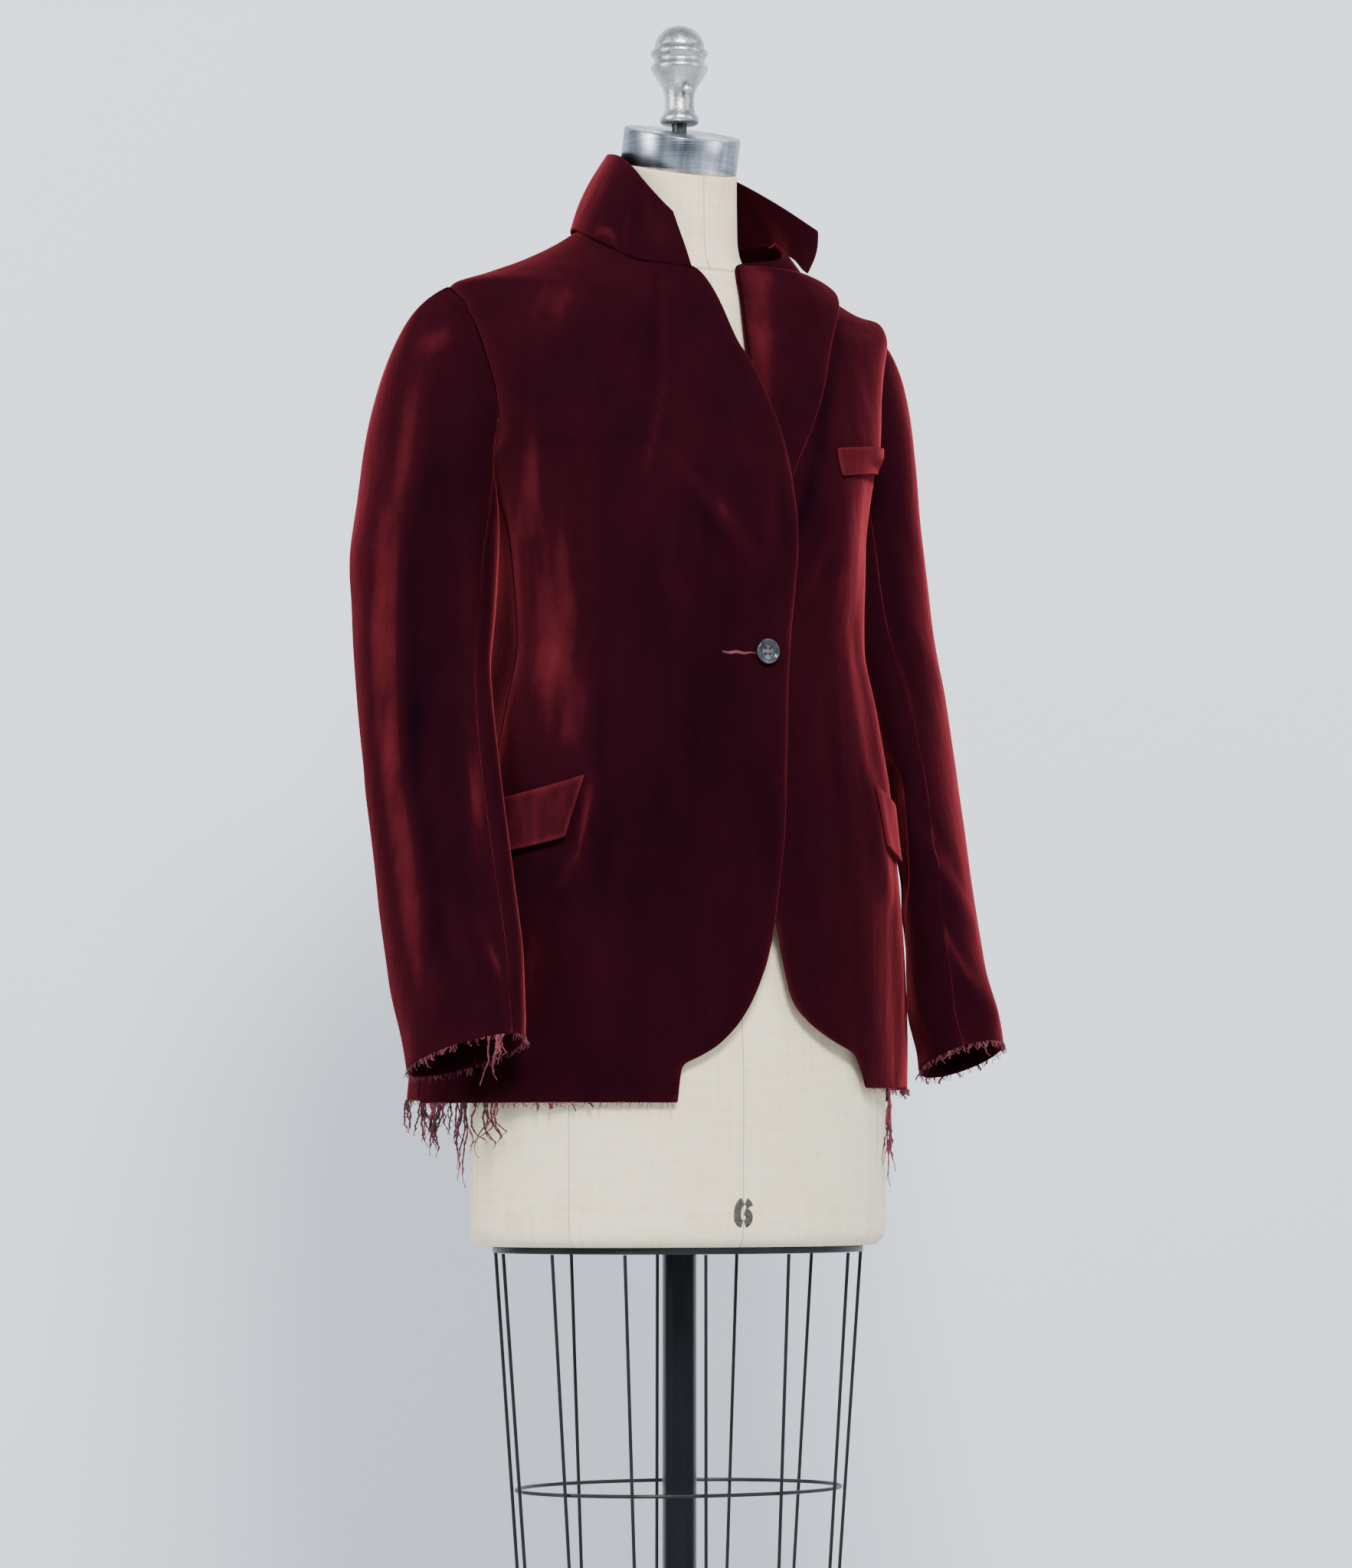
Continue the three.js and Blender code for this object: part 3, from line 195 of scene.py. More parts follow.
# %% [markdown]
# A photographer's paper sweep gives a plain pale floor that curves up into a plain pale wall.
# One grid is bent along its length: it lies flat, turns up in a quarter circle and stands.
# It is stage, not part of the object, and stands square to the camera, close behind the form
# so that the form's soft shadow falls on it. The paper has only a front, so the back of the
# jacket can be looked at through it.

# %% Helpers for node trees
def feed(tree, node, sockets):
    """Gives each socket its value, or links it when it is given another socket."""
    for name, given in sockets.items():
        if isinstance(given, bpy.types.NodeSocket):
            tree.links.new(given, node.inputs[name])
        else:
            node.inputs[name].default_value = given


def add_node(tree, kind, sockets=None, **settings):
    """A new shader node of one kind, with its settings and its sockets."""
    node = tree.nodes.new("ShaderNode" + kind)
    for name, setting in settings.items():
        setattr(node, name, setting)
    feed(tree, node, sockets or {})
    return node


def new_material(name):
    """A material with one principled shader: the material, its tree, shader and places."""
    material = bpy.data.materials.new(name)
    material.use_nodes = True
    tree = material.node_tree
    tree.nodes.clear()
    shader = add_node(tree, "BsdfPrincipled")
    add_node(tree, "OutputMaterial", {"Surface": shader.outputs[0]})
    return material, tree, shader, add_node(tree, "TexCoord").outputs["Object"]


def paper_material():
    """Pale paper with a front only: seen from behind, it is clear."""
    material, tree, shader, place = new_material("paper")
    tone = add_node(tree, "TexNoise", {"Vector": place, "Scale": 0.6})
    shade = add_node(tree, "Mix", {"Factor": tone.outputs["Fac"], "A": (0.69, 0.73, 0.80, 1),
                                   "B": (0.72, 0.76, 0.825, 1)}, data_type="RGBA")
    feed(tree, shader, {"Base Color": shade.outputs["Result"], "Roughness": 0.9})
    behind = add_node(tree, "NewGeometry").outputs["Backfacing"]
    clear = add_node(tree, "BsdfTransparent").outputs[0]
    chosen = add_node(tree, "MixShader", {0: behind, 1: shader.outputs[0], 2: clear})
    output = next(node for node in tree.nodes if node.type == "OUTPUT_MATERIAL")
    feed(tree, output, {"Surface": chosen.outputs[0]})
    return material


# %% Floor and wall
WALL_BEHIND = 0.85
SWEEP_RADIUS = 0.35
SWEEP_WIDTH = 9.0
SWEEP_FRONT = 6.0
SWEEP_TOP = 4.5


def sweep_point(across, along):
    """A place on the paper from its share across and its length along, in metres."""
    bend = SWEEP_RADIUS * math.pi / 2
    flat = SWEEP_FRONT + WALL_BEHIND - SWEEP_RADIUS
    if along < flat:
        back, up = along - SWEEP_FRONT, 0.0
    elif along < flat + bend:
        turn = (along - flat) / SWEEP_RADIUS
        back = flat - SWEEP_FRONT + SWEEP_RADIUS * math.sin(turn)
        up = SWEEP_RADIUS * (1 - math.cos(turn))
    else:
        back, up = WALL_BEHIND, SWEEP_RADIUS + along - flat - bend
    return forward * back + sideways * (across - 0.5) * SWEEP_WIDTH + Vector((0, 0, up))


def grid_shares(corner):
    """The shares across and along of one corner of a grid that isn't bent yet."""
    return (corner.co.x + 1) / 2, (corner.co.y + 1) / 2


sweep_length = SWEEP_FRONT + WALL_BEHIND + SWEEP_TOP
paper = bmesh.new()
bmesh.ops.create_grid(paper, x_segments=8, y_segments=160, size=1)
for corner in paper.verts:
    across, along = grid_shares(corner)
    corner.co = sweep_point(across, along * sweep_length)
paper.normal_update()
if min(paper.faces, key=lambda f: f.calc_center_median().z).normal.z < 0:
    bmesh.ops.reverse_faces(paper, faces=paper.faces[:])
for face in paper.faces:
    face.smooth = True
sweep_mesh = bpy.data.meshes.new("sweep")
paper.to_mesh(sweep_mesh)
paper.free()
sweep = bpy.data.objects.new("sweep", sweep_mesh)
sweep.data.materials.append(paper_material())
bpy.context.collection.objects.link(sweep)
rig.stage(sweep)
print("sweep", len(sweep_mesh.polygons), "faces")

# %% [markdown]
# Soft studio light comes from panels. The strongest hangs above the camera and throws the
# form's soft shadow low on the wall. Velvet is dark where it is seen straight on and bright
# where it turns away, so a panel stands at either side to light the turned edges.

# %% Lights
def beside(right, toward, up):
    """A place given across the picture, towards the camera and up."""
    return sideways * right - forward * toward + Vector((0, 0, up))


def light_panel(name, place, aim_height, width, height, watts):
    """A panel of light, turned towards a height on the form's axis."""
    lamp = bpy.data.lights.new(name, "AREA")
    lamp.shape = "RECTANGLE"
    lamp.size = width
    lamp.size_y = height
    lamp.energy = watts
    panel = bpy.data.objects.new(name, lamp)
    panel.location = place
    aim = Vector((0, 0, aim_height)) - Vector(place)
    panel.rotation_euler = aim.to_track_quat("-Z", "Y").to_euler()
    bpy.context.collection.objects.link(panel)


light_panel("light_front", beside(0.45, 3.0, 3.1), 1.0, 0.9, 0.8, 235)
light_panel("light_left", beside(-2.3, 1.2, 2.1), 1.2, 1.1, 2.2, 75)
light_panel("light_right", beside(2.3, 1.0, 2.1), 1.2, 1.1, 2.2, 34)
world = bpy.data.worlds.new("room")
bpy.context.scene.world = world
world.use_nodes = True
room = world.node_tree.nodes["Background"]
room.inputs["Color"].default_value = (0.86, 0.91, 1.0, 1)
room.inputs["Strength"].default_value = 0.27
print("lights", len(bpy.data.lights))

# %% [markdown]
# The jacket's form comes from the same tables as its solids: horizontal sections of the body,
# the edges of both fronts, and rings of the sleeve. A value between two rows is read from a
# smooth curve that never swings past the rows, so the panels stay true to their sizes.

# %% Tables and how they are read
SIDES = ((1, "left"), (-1, "right"))


def table(names, *rows):
    """A table with named columns; the first column is the one that it is read by."""
    return {name: [row[i] for row in rows] for i, name in enumerate(names.split())}


def clamp(place, low=0, high=1):
    return min(max(place, low), high)


def value(of, name, place):
    """A smooth value of one column between the table's rows, with no overshoot."""
    keys = next(iter(of.values()))
    column = of[name]
    last = len(keys) - 1
    at = clamp(place, keys[0], keys[last])
    row = 0
    while row < last - 1 and keys[row + 1] < at:
        row += 1
    before, here, after = [
        None if i == last else (column[i + 1] - column[i]) / (keys[i + 1] - keys[i])
        for i in (max(row - 1, 0), row, min(row + 1, last))]

    def slope(low, high):
        return 0 if low * high <= 0 else 2 * low * high / (low + high)

    start = here if row == 0 else slope(before, here)
    end = here if row + 1 == last else slope(here, after)
    span = keys[row + 1] - keys[row]
    t = (at - keys[row]) / span
    low = column[row] * (1 + 2 * t) * (1 - t) ** 2 + start * span * t * (1 - t) ** 2
    high = column[row + 1] * t * t * (3 - 2 * t) + end * span * t * t * (t - 1)
    return low + high


def smoothstep(place, low, high):
    t = clamp((place - low) / (high - low))
    return t * t * (3 - 2 * t)


def mix(low, high, share):
    return low + (high - low) * share


# %% Sections of the body in millimetres
BODY = table(
    "z half front back side open_front open_back",
    (853, 205, -124, 201, 38, 0, 0), (900, 203, -126, 189, 32, 0, 0),
    (985, 192, -128, 168, 14, 0, 0), (1065, 176, -128, 148, -6, 0, 0),
    (1110, 166, -126, 132, -18, 0, 0), (1160, 156, -124, 117, -20, 0, 0),
    (1210, 146, -124, 108, -16, 0, 0), (1285, 149, -135, 110, -8, 0, 0),
    (1335, 159, -129, 115, 2, 0, 0), (1350, 163, -124, 116, 5, 0, 0),
    (1363, 162, -119, 117, 8, 24, 20), (1402, 165, -105, 115, 16, 33, 39),
    (1436, 173, -92, 108, 22, 30, 40), (1464, 183, -81, 97, 25, 20, 27),
    (1478, 187, -76, 90, 25, 0, 0), (1492, 160, -70, 82, 22, 0, 0),
    (1508, 128, -63, 74, 17, 0, 0), (1524, 102, -57, 68, 13, 0, 0),
    (1541, 80, -50, 62, 8, 0, 0),
)
RIGHT_EDGE = table(
    "z x",
    (850, -56), (878, -53), (885, -40), (894, -25), (911, -8), (930, 4), (958, 15), (984, 21),
    (1005, 24), (1057, 31), (1113, 34), (1176, 37), (1240, 41), (1297, 40.5), (1323, 38.5),
    (1365, 35), (1396, 28), (1425, 18.5), (1443, 9), (1472, 0.5), (1494, -8.5), (1504, -18),
    (1507, -43), (1511, -63), (1523, -78), (1538, -79.5),
)
LEFT_EDGE = table(
    "z x",
    (862, 116), (881, 107), (889, 101), (895, 86), (902, 71), (915, 52), (929, 40), (959, 31),
    (996, 22), (1030, 2), (1060, -14), (1200, -20), (1330, 16), (1430, 20), (1482, 23),
    (1509, 25), (1513, 48), (1517, 66), (1524, 77), (1538, 79.5),
)
LAPEL = table(
    "z roll outer",
    (1268, 4, 26), (1327, 15, 40), (1368, 19, 61), (1407, 20, 79), (1451, 22, 96),
    (1480, 24, 111), (1495, 25, 117), (1504, 26, 107), (1509, 28, 80),
)
CLOTH = 2.0
LAYER_GAP = 0.7
BACK_FULLNESS = {"most": 17, "middle": 1185, "reach": 75, "full_turn": 0.42, "ease_turn": 1.2,
                 "ease": 0.6}
SHOULDER_DIP = {"most": 9, "from_x": 82, "full_x": 105, "ease_x": 148, "none_x": 184,
                "from_z": 1440, "full_z": 1480}
SHOULDER_RISE = {"most": 11, "from_x": 85, "full_x": 190, "from_z": 1400, "full_z": 1470}
UNDERLAP = {"shallow": 3.1, "deep": 8.6, "low": 1195, "high": 1297, "full_x": 34, "none_x": 84}

# %% [markdown]
# Creases are listed one by one. Each one runs from one place to another and is a soft trough or
# ridge, deepest in its middle. The fronts carry the ones that the picture shows, and the
# hidden panels get similar ones, because cloth is never perfectly smooth. A little slow
# waviness is added to all of it.

# %% Creases of the fronts and backs
FRONT_CREASES = {
    -1: [  # x1, z1, x2, z2, depth, width
        (43, 1485, 80, 1335, -2.5, 12), (112, 1222, 133, 1112, -3.5, 12),
        (119, 1098, 141, 1017, 4, 11), (150, 1330, 132, 1230, 3.5, 14),
        (74, 1352, 96, 1240, 1.6, 16), (22, 1345, -12, 1262, 1.5, 13),
        (58, 1300, 10, 1228, 1.2, 12), (126, 1385, 140, 1322, -1.8, 10),
        (104, 1012, 118, 890, 1.6, 18), (62, 1050, 66, 900, -1.4, 22),
        (20, 1130, 8, 960, 1.2, 20), (100, 1455, 140, 1420, 1.5, 14),
        (148, 1000, 160, 880, -2.0, 14), (84, 1222, 118, 1180, -1.0, 9),
        (20, 1494, 1, 1440, 1.3, 3.4), (5, 1450, -19, 1390, 1.5, 3.4),
        (-14, 1402, -28, 1318, 1.2, 3.4), (58, 1346, 0, 1266, 1.6, 8),
        (-24, 1160, -14, 960, 1.0, 9), (122, 1096, 140, 1012, 2.2, 5),
    ],
    1: [
        (112, 1222, 133, 1112, -3.5, 12), (119, 1098, 141, 1017, 4, 11),
        (134, 1338, 120, 1240, -2.2, 12), (96, 1330, 90, 1235, 1.8, 12),
        (68, 1280, 52, 1190, -1.6, 12), (72, 1180, 86, 1080, 1.6, 15),
        (56, 1130, 62, 1000, -1.5, 14), (112, 1010, 122, 890, 1.8, 16),
        (150, 1000, 158, 880, -2.0, 12), (130, 1440, 142, 1400, -1.5, 10),
    ],
}
BACK_CREASES = [
    (30, 1235, 130, 1205, -2.2, 13), (20, 1190, 120, 1165, 1.8, 14),
    (60, 1100, 78, 900, 2.2, 22), (118, 1080, 142, 880, -2.4, 18),
    (70, 1460, 120, 1405, -1.8, 15), (120, 1380, 138, 1290, 1.8, 14),
    (24, 1420, 34, 1290, -1.2, 18),
]


def along_stroke(x, z, x1, z1, x2, z2, width):
    """How far along a stroke a place lies, and how many widths away from it."""
    along_x, along_z = x2 - x1, z2 - z1
    t = clamp(((x - x1) * along_x + (z - z1) * along_z) / (along_x ** 2 + along_z ** 2))
    return t, math.hypot(x - x1 - along_x * t, z - z1 - along_z * t) / width


def crease_lift(creases, x, z):
    """How far the creases lift or sink one place, in millimetres."""
    lift = 0.0
    for *ends, depth, width in creases:
        t, away = along_stroke(x, z, *ends, width)
        swell = 0.25 + 0.75 * math.sin(math.pi * (0.15 + 0.7 * t))
        lift += depth * math.exp(-away * away) * swell
    return lift


def waviness(x, y, z, size=70, height=0.7):
    """A slow unevenness that all cloth has."""
    return height * noise.noise(Vector((x, y, z)) / size)


# %% Points of the body
SEAM_CALM = 0.12


def side_y(face, z):
    """The depth of the side seam; front and back part from it round the armhole."""
    side = value(BODY, "side", z)
    if face == "front":
        return side - value(BODY, "open_front", z)
    return side + value(BODY, "open_back", z)


def back_swell(turn, z):
    """The extra fullness of the backs at the waist, behind the side seam."""
    b = BACK_FULLNESS
    from_seam = math.pi / 2 - abs(turn)
    swell = smoothstep(from_seam, 0, b["full_turn"])
    swell *= 1 - b["ease"] * smoothstep(from_seam, b["full_turn"], b["ease_turn"])
    return b["most"] * swell * math.exp(-((z - b["middle"]) / b["reach"]) ** 2)


def body_point(face, turn, z, lift=0.0, side=1):
    """A point of the jacket's body; turn is 0 at the middle and grows to the wearer's left.
    side says which front's creases it takes, also where a front crosses the middle."""
    middle_y, seam_y = value(BODY, face, z), side_y(face, z)
    x = value(BODY, "half", z) * math.sin(turn)
    y = seam_y + (middle_y - seam_y) * math.cos(turn)
    calm = smoothstep(math.pi / 2 - abs(turn), 0.0, SEAM_CALM)
    if face == "front":
        lift += calm * (crease_lift(FRONT_CREASES[side], side * x, z) + waviness(x, y, z))
    else:
        lift += calm * (crease_lift(BACK_CREASES, abs(x), z) + waviness(x, y, z))
        lift += back_swell(turn, z)
    lean = math.copysign(1, middle_y - seam_y)
    return Vector((x + math.sin(turn) * lift, y + lean * math.cos(turn) * lift, z))


def turn_at(x, z):
    return math.asin(clamp(x / value(BODY, "half", z), -1))


def underlap(x, z):
    """How far the left front lies under the right one."""
    u = UNDERLAP
    depth = mix(u["shallow"], u["deep"], smoothstep(z, u["low"], u["high"]))
    return -depth * (1 - smoothstep(x, u["full_x"], u["none_x"]))


def shouldered(point, side):
    """The right shoulder stands higher; the left one sinks between neck and armhole."""
    if side < 0:
        r = SHOULDER_RISE
        out = clamp((abs(point.x) - r["from_x"]) / (r["full_x"] - r["from_x"]))
        out *= point.x <= 0
        up = smoothstep(point.z, r["from_z"], r["full_z"])
        return point + Vector((0, 0, r["most"] * out * up))
    d = SHOULDER_DIP
    across = smoothstep(point.x, d["from_x"], d["full_x"])
    across *= 1 - smoothstep(point.x, d["ease_x"], d["none_x"])
    up = smoothstep(point.z, d["from_z"], d["full_z"])
    return point - Vector((0, 0, d["most"] * across * up))


print("body at the waist:", [round(c, 1) for c in body_point("front", 0.5, 1197)])

# %% [markdown]
# Velvet's pile is dark where it is seen end on and glows where it turns away, so the colour
# is nearly black and the glow is the shader's sheen, set on its own sockets. Painted
# highlights and painted shade lie on the colour in brighter and darker patches: each panel
# carries a float attribute with its listed strokes and edges of painted light, and several
# noises add small uneven patches of tone. Two bumps, one fine and one soft, break the
# surface. The other materials are made with one helper that adds up noises.

# %% Colours and bumps from noises
def ramp_between(tree, factor, stops):
    """A colour ramp through (place, colour) stops, driven by a socket."""
    ramp = add_node(tree, "ValToRGB", {"Fac": factor})
    points = ramp.color_ramp.elements
    while len(points) < len(stops):
        points.new(0.5)
    for point, (place, colour) in zip(points, stops):
        point.position = place
        point.color = (*colour, 1)
    return ramp.outputs["Color"]


def sum_of(tree, start, plain, noises=()):
    """start plus each socket times its weight; a noise counts from its middle, 0.5."""
    total = start - sum(weight for _, weight in noises) / 2
    for socket, weight in (*plain, *noises):
        total = add_node(tree, "Math", {0: socket, 1: weight, 2: total},
                         operation="MULTIPLY_ADD").outputs[0]
    return total


def noise_on(tree, vector, scale, stretch=(1, 1, 1), detail=2):
    """A noise read on a stretched copy of the coordinates."""
    stretched = add_node(tree, "Mapping", {"Vector": vector, "Scale": stretch})
    return add_node(tree, "TexNoise", {"Vector": stretched.outputs["Vector"], "Scale": scale,
                                       "Detail": detail}).outputs["Fac"]


def bump_from(tree, height, strength, distance, below=None):
    """A bump that is distance metres high, on top of another one if that is given."""
    sockets = {"Height": height, "Strength": strength, "Distance": distance}
    if below is not None:
        sockets["Normal"] = below
    return add_node(tree, "Bump", sockets).outputs["Normal"]


def noisy_material(name, noises, start, weights, stops, bump, sockets):
    """A material with a tone summed from noises; bump is which noise, strength, metres."""
    material, tree, shader, place = new_material(name)
    fields = [noise_on(tree, place, *noise_size) for noise_size in noises]
    tone = sum_of(tree, start, [], list(zip(fields, weights)))
    feed(tree, shader, {"Base Color": ramp_between(tree, tone, stops), **sockets})
    if bump:
        normal = bump_from(tree, fields[bump[0]], *bump[1:])
        feed(tree, shader, {"Normal": normal})
    return material


# %% Velvet
BASE_PILE = 0.30


def velvet_material():
    material, tree, shader, place = new_material("velvet")
    # The float attribute holds painted highlights and painted shade; a noise breaks it up below.
    painted_light = add_node(tree, "Attribute", attribute_name="PaintedLight").outputs["Fac"]
    patches = noise_on(tree, place, 13, (1, 1, 0.45), 3)
    strokes = noise_on(tree, place, 60, (1, 1, 0.12), 4)
    mottle = noise_on(tree, place, 38, (1, 1, 0.6), 5)
    weave = noise_on(tree, place, 1800, (1, 1, 0.6), 2)
    uneven = noise_on(tree, place, 70, (1, 1, 0.30), 4)
    soft = noise_on(tree, place, 55, (1, 1, 0.4), 3)
    # The tone adds the painted light and shade to a base and the noises; the ramp runs from nearly black to bright
    # red.
    broken_painted_light = add_node(tree, "Math", {0: painted_light, 1: uneven}, operation="MULTIPLY").outputs[0]
    tone = sum_of(tree, BASE_PILE, [(painted_light, 0.50), (broken_painted_light, 1.0)],
                  [(patches, 0.34), (strokes, 0.22), (mottle, 0.20), (weave, 0.16)])
    colour = ramp_between(tree, tone, [
        (0.0, (0.0040, 0.0010, 0.0030)), (0.45, (0.017, 0.0021, 0.0046)),
        (1.0, (0.125, 0.014, 0.019))])
    fine = bump_from(tree, weave, 0.35, 0.0006)
    feed(tree, shader, {
        "Base Color": colour, "Normal": bump_from(tree, soft, 0.25, 0.004, fine),
        "Roughness": 0.72, "Specular IOR Level": 0.0, "Sheen Weight": 0.8,
        "Sheen Roughness": 0.36, "Sheen Tint": (0.40, 0.049, 0.064, 1)})
    return material


velvet = velvet_material()
print("materials so far:", [m.name for m in bpy.data.materials])

# %% [markdown]
# A panel of cloth starts as a flat grid, its vertices are moved onto the body, and Solidify
# gives it 2 mm of thickness towards the body. One subdivision rounds its folded edges. The
# grid is closer near its sides, where a thin painted highlight runs along the folded velvet.
# The cloth's own width and length are measured along the rows, because the cut of every
# sheet is declared.

# %% A sheet of cloth
ROW_CLOSENESS = 0.25
EDGE_CLOSENESS = 0.55
MEASURES = 40
cuts = {}


def closer_at_ends(share, amount):
    """Moves the grid's lines towards both ends."""
    return mix(share, 0.5 - 0.5 * math.cos(math.pi * share), amount)


def make_object(name, bm, material, smooth=True):
    """A mesh object at the origin that rides with the whole part."""
    mesh = bpy.data.meshes.new(name)
    if smooth:
        for face in bm.faces:
            face.smooth = True
    bm.to_mesh(mesh)
    bm.free()
    piece = bpy.data.objects.new(name, mesh)
    mesh.materials.append(material)
    bpy.context.collection.objects.link(piece)
    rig.ride(piece, "root")
    return piece


def dressed(name, node, bm, material, slot, smooth=True):
    """An object in a slot that takes the place of one node of the frame."""
    piece = make_object(name, bm, material, smooth)
    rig.slot(piece, slot)
    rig.replaces(piece, node)
    print(f"{name}: {len(piece.data.polygons)} faces")
    return piece


def away_from_axis(point):
    return Vector((point.x, point.y, 0))


def length_of(points):
    """The length in metres of a line through points in millimetres."""
    return sum((b - a).length for a, b in zip(points, points[1:])) * MM


def cloth_sheet(name, node, place, columns, rows, painted_light=None, wall=CLOTH,
                ends=EDGE_CLOSENESS, outwards=away_from_axis):
    """A sheet of velvet whose place(u, w) gives millimetres; its cut goes into cuts."""
    bm = bmesh.new()
    uv = bm.loops.layers.uv.new("Cloth")
    layer = bm.verts.layers.float.new("PaintedLight")
    bmesh.ops.create_grid(bm, x_segments=columns, y_segments=rows, size=1)
    shares = {}
    for corner in bm.verts:
        across, up = grid_shares(corner)
        u, w = closer_at_ends(across, ends), closer_at_ends(up, ROW_CLOSENESS)
        shares[corner.index] = (u, w)
        spot = place(u, w)
        # Each corner stores the painted highlight and painted shade that the panel's function gives.
        corner[layer] = painted_light(u, w, spot) if painted_light else 0.0
        corner.co = spot * MM
    bm.normal_update()

    def off_middle(face):
        u, w = shares[face.verts[0].index]
        return abs(u - 0.5) + abs(w - 0.5)

    middle = min(bm.faces, key=off_middle)
    if middle.normal.dot(outwards(middle.calc_center_median())) < 0:
        bmesh.ops.reverse_faces(bm, faces=bm.faces[:])
    area = sum(face.calc_area() for face in bm.faces)
    spread = [i / MEASURES for i in range(MEASURES + 1)]
    width = max(length_of([place(u, w) for u in spread]) for w in (0, 0.2, 0.4, 0.6, 0.8, 1))
    length = max(length_of([place(u, w) for w in spread]) for u in (0, 0.25, 0.5, 0.75, 1))
    for face in bm.faces:
        for loop in face.loops:
            u, w = shares[loop.vert.index]
            loop[uv].uv = (u * width, w * length)
    piece = dressed(name, node, bm, velvet, "velvet")
    thick = piece.modifiers.new("wall", "SOLIDIFY")
    thick.thickness = wall * MM
    thick.offset = -1
    thick.use_even_offset = False
    smooth = piece.modifiers.new("soft", "SUBSURF")
    smooth.levels = 1
    smooth.render_levels = 1
    smooth.boundary_smooth = "PRESERVE_CORNERS"
    cuts[name] = {"flat": (width, length), "area": min(area, width * length)}
    print(f"  cut {width:.3f} by {length:.3f} m, {area:.4f} square metres")
    return piece


# %% [markdown]
# Each front runs from the side seam, armhole and shoulder to its cut edge. Painted highlights
# and painted shade lie on its velvet as soft strokes, each given by two places, a width and a
# strength, and a thin painted highlight runs along the folded front edge and the hem.

# %% Strokes of painted highlight and painted shade
def strokes_at(strokes, x, z):
    """The sum of the soft strokes of painted highlight and painted shade at one place."""
    total = 0.0
    for *ends, width, strength in strokes:
        t, away = along_stroke(x, z, *ends, width)
        fade = 0.2 + 0.8 * math.sin(math.pi * (0.08 + 0.84 * t))
        total += strength * fade * math.exp(-away ** 3)
    return total


# Painted highlights (positive strength) and painted shade (negative strength) on the right front.
RIGHT_FRONT_PAINTED_LIGHT = [  # x1, z1, x2, z2, width, strength
    (-154, 1384, -147, 1290, 6, 0.22), (-160, 1380, -154, 1296, 5, -0.18),
    (-146, 1340, -140, 1110, 20, 0.17), (-138, 1200, -145, 1128, 5, 0.10),
    (-130, 1300, -124, 1120, 13, 0.12), (-122, 1168, -133, 1106, 8, 0.06),
    (-104, 1215, -116, 1100, 7, -0.10), (-170, 1440, -110, 1490, 22, 0.20),
    (-90, 1500, -40, 1480, 14, 0.10), (-43, 1503, -60, 1397, 3.0, 0.20),
    (-58, 1404, -81, 1332, 3.0, 0.24), (-50, 1490, -68, 1390, 9, -0.10),
    (-66, 1354, 3, 1262, 6, 0.17), (-30, 1322, -4, 1276, 4, 0.10),
    (-52, 1318, -22, 1268, 8, -0.10),
    (-68, 1258, -46, 1229, 6, 0.14), (-90, 1290, -70, 1180, 16, -0.12),
    (-70, 1160, -60, 980, 40, -0.12), (10, 1150, 0, 1000, 26, -0.08),
    (-120, 1100, -131, 1036, 4, 0.36), (-132, 1036, -144, 1008, 5, 0.26),
    (-106, 1080, -118, 1000, 9, -0.14), (-150, 1034, -140, 1004, 9, -0.20),
    (-100, 980, -110, 880, 14, 0.08), (-150, 985, -160, 890, 9, 0.12),
    (-40, 1280, -20, 1100, 26, -0.08),
    (22, 1345, 10, 1262, 5, 0.12), (26, 1330, 30, 1250, 6, -0.12),
    (-20, 930, -60, 872, 8, 0.08), (-95, 1360, -60, 1372, 18, -0.08),
]
# Painted highlights and painted shade on the left front; the first three strokes are a painted shadow along the
# lapel's edge.
LEFT_FRONT_PAINTED_LIGHT = [
    (32, 1262, 72, 1366, 6, -0.24), (68, 1362, 106, 1452, 6, -0.24),
    (102, 1446, 124, 1500, 6, -0.20),
    (116, 1490, 152, 1400, 8, 0.20), (76, 1290, 55, 1243, 5, 0.24),
    (130, 1306, 128, 1266, 5, 0.30), (112, 1206, 130, 1130, 5, 0.34),
    (96, 1300, 88, 1225, 7, 0.16), (62, 1330, 66, 1250, 12, -0.10),
    (60, 1200, 70, 1090, 8, 0.10), (86, 1160, 96, 1040, 12, -0.10),
    (104, 1120, 112, 1050, 4, 0.20), (70, 1060, 90, 920, 16, 0.06),
    (140, 1100, 150, 900, 10, 0.10), (48, 1140, 40, 1000, 9, -0.08),
    (138, 1350, 134, 1310, 6, 0.16), (118, 1000, 130, 890, 8, 0.08),
]


def painted_edge_highlight(distance, width=3.2):
    """The painted highlight along a folded edge, at a distance from it in millimetres."""
    return 0.20 * math.exp(-(distance / width) ** 2)


# A painted highlight along a hem.
def painted_hem_highlight(above_hem):
    return 0.5 * painted_edge_highlight(max(above_hem, 0), 5)


# %% The two fronts
FRONT_TOP = 1538
FRONT_ACROSS = 200
FRONT_HEM = 852


def heights_along(edge, low, high, evenness=0.55, steps=400):
    """Heights for the rows, closer together where the cut edge runs nearly level."""
    heights = [mix(low, high, i / steps) for i in range(steps + 1)]
    places = [Vector((value(edge, "x", z), z)) for z in heights]
    lengths = [0.0]
    for before, after in zip(places, places[1:]):
        lengths.append(lengths[-1] + (after - before).length)
    marks = [mix(i / steps, length / lengths[-1], evenness) for i, length in enumerate(lengths)]

    def height(share):
        at = clamp(bisect.bisect_left(marks, share), 1, steps)
        part = (share - marks[at - 1]) / (marks[at] - marks[at - 1])
        return mix(heights[at - 1], heights[at], clamp(part))
    return height


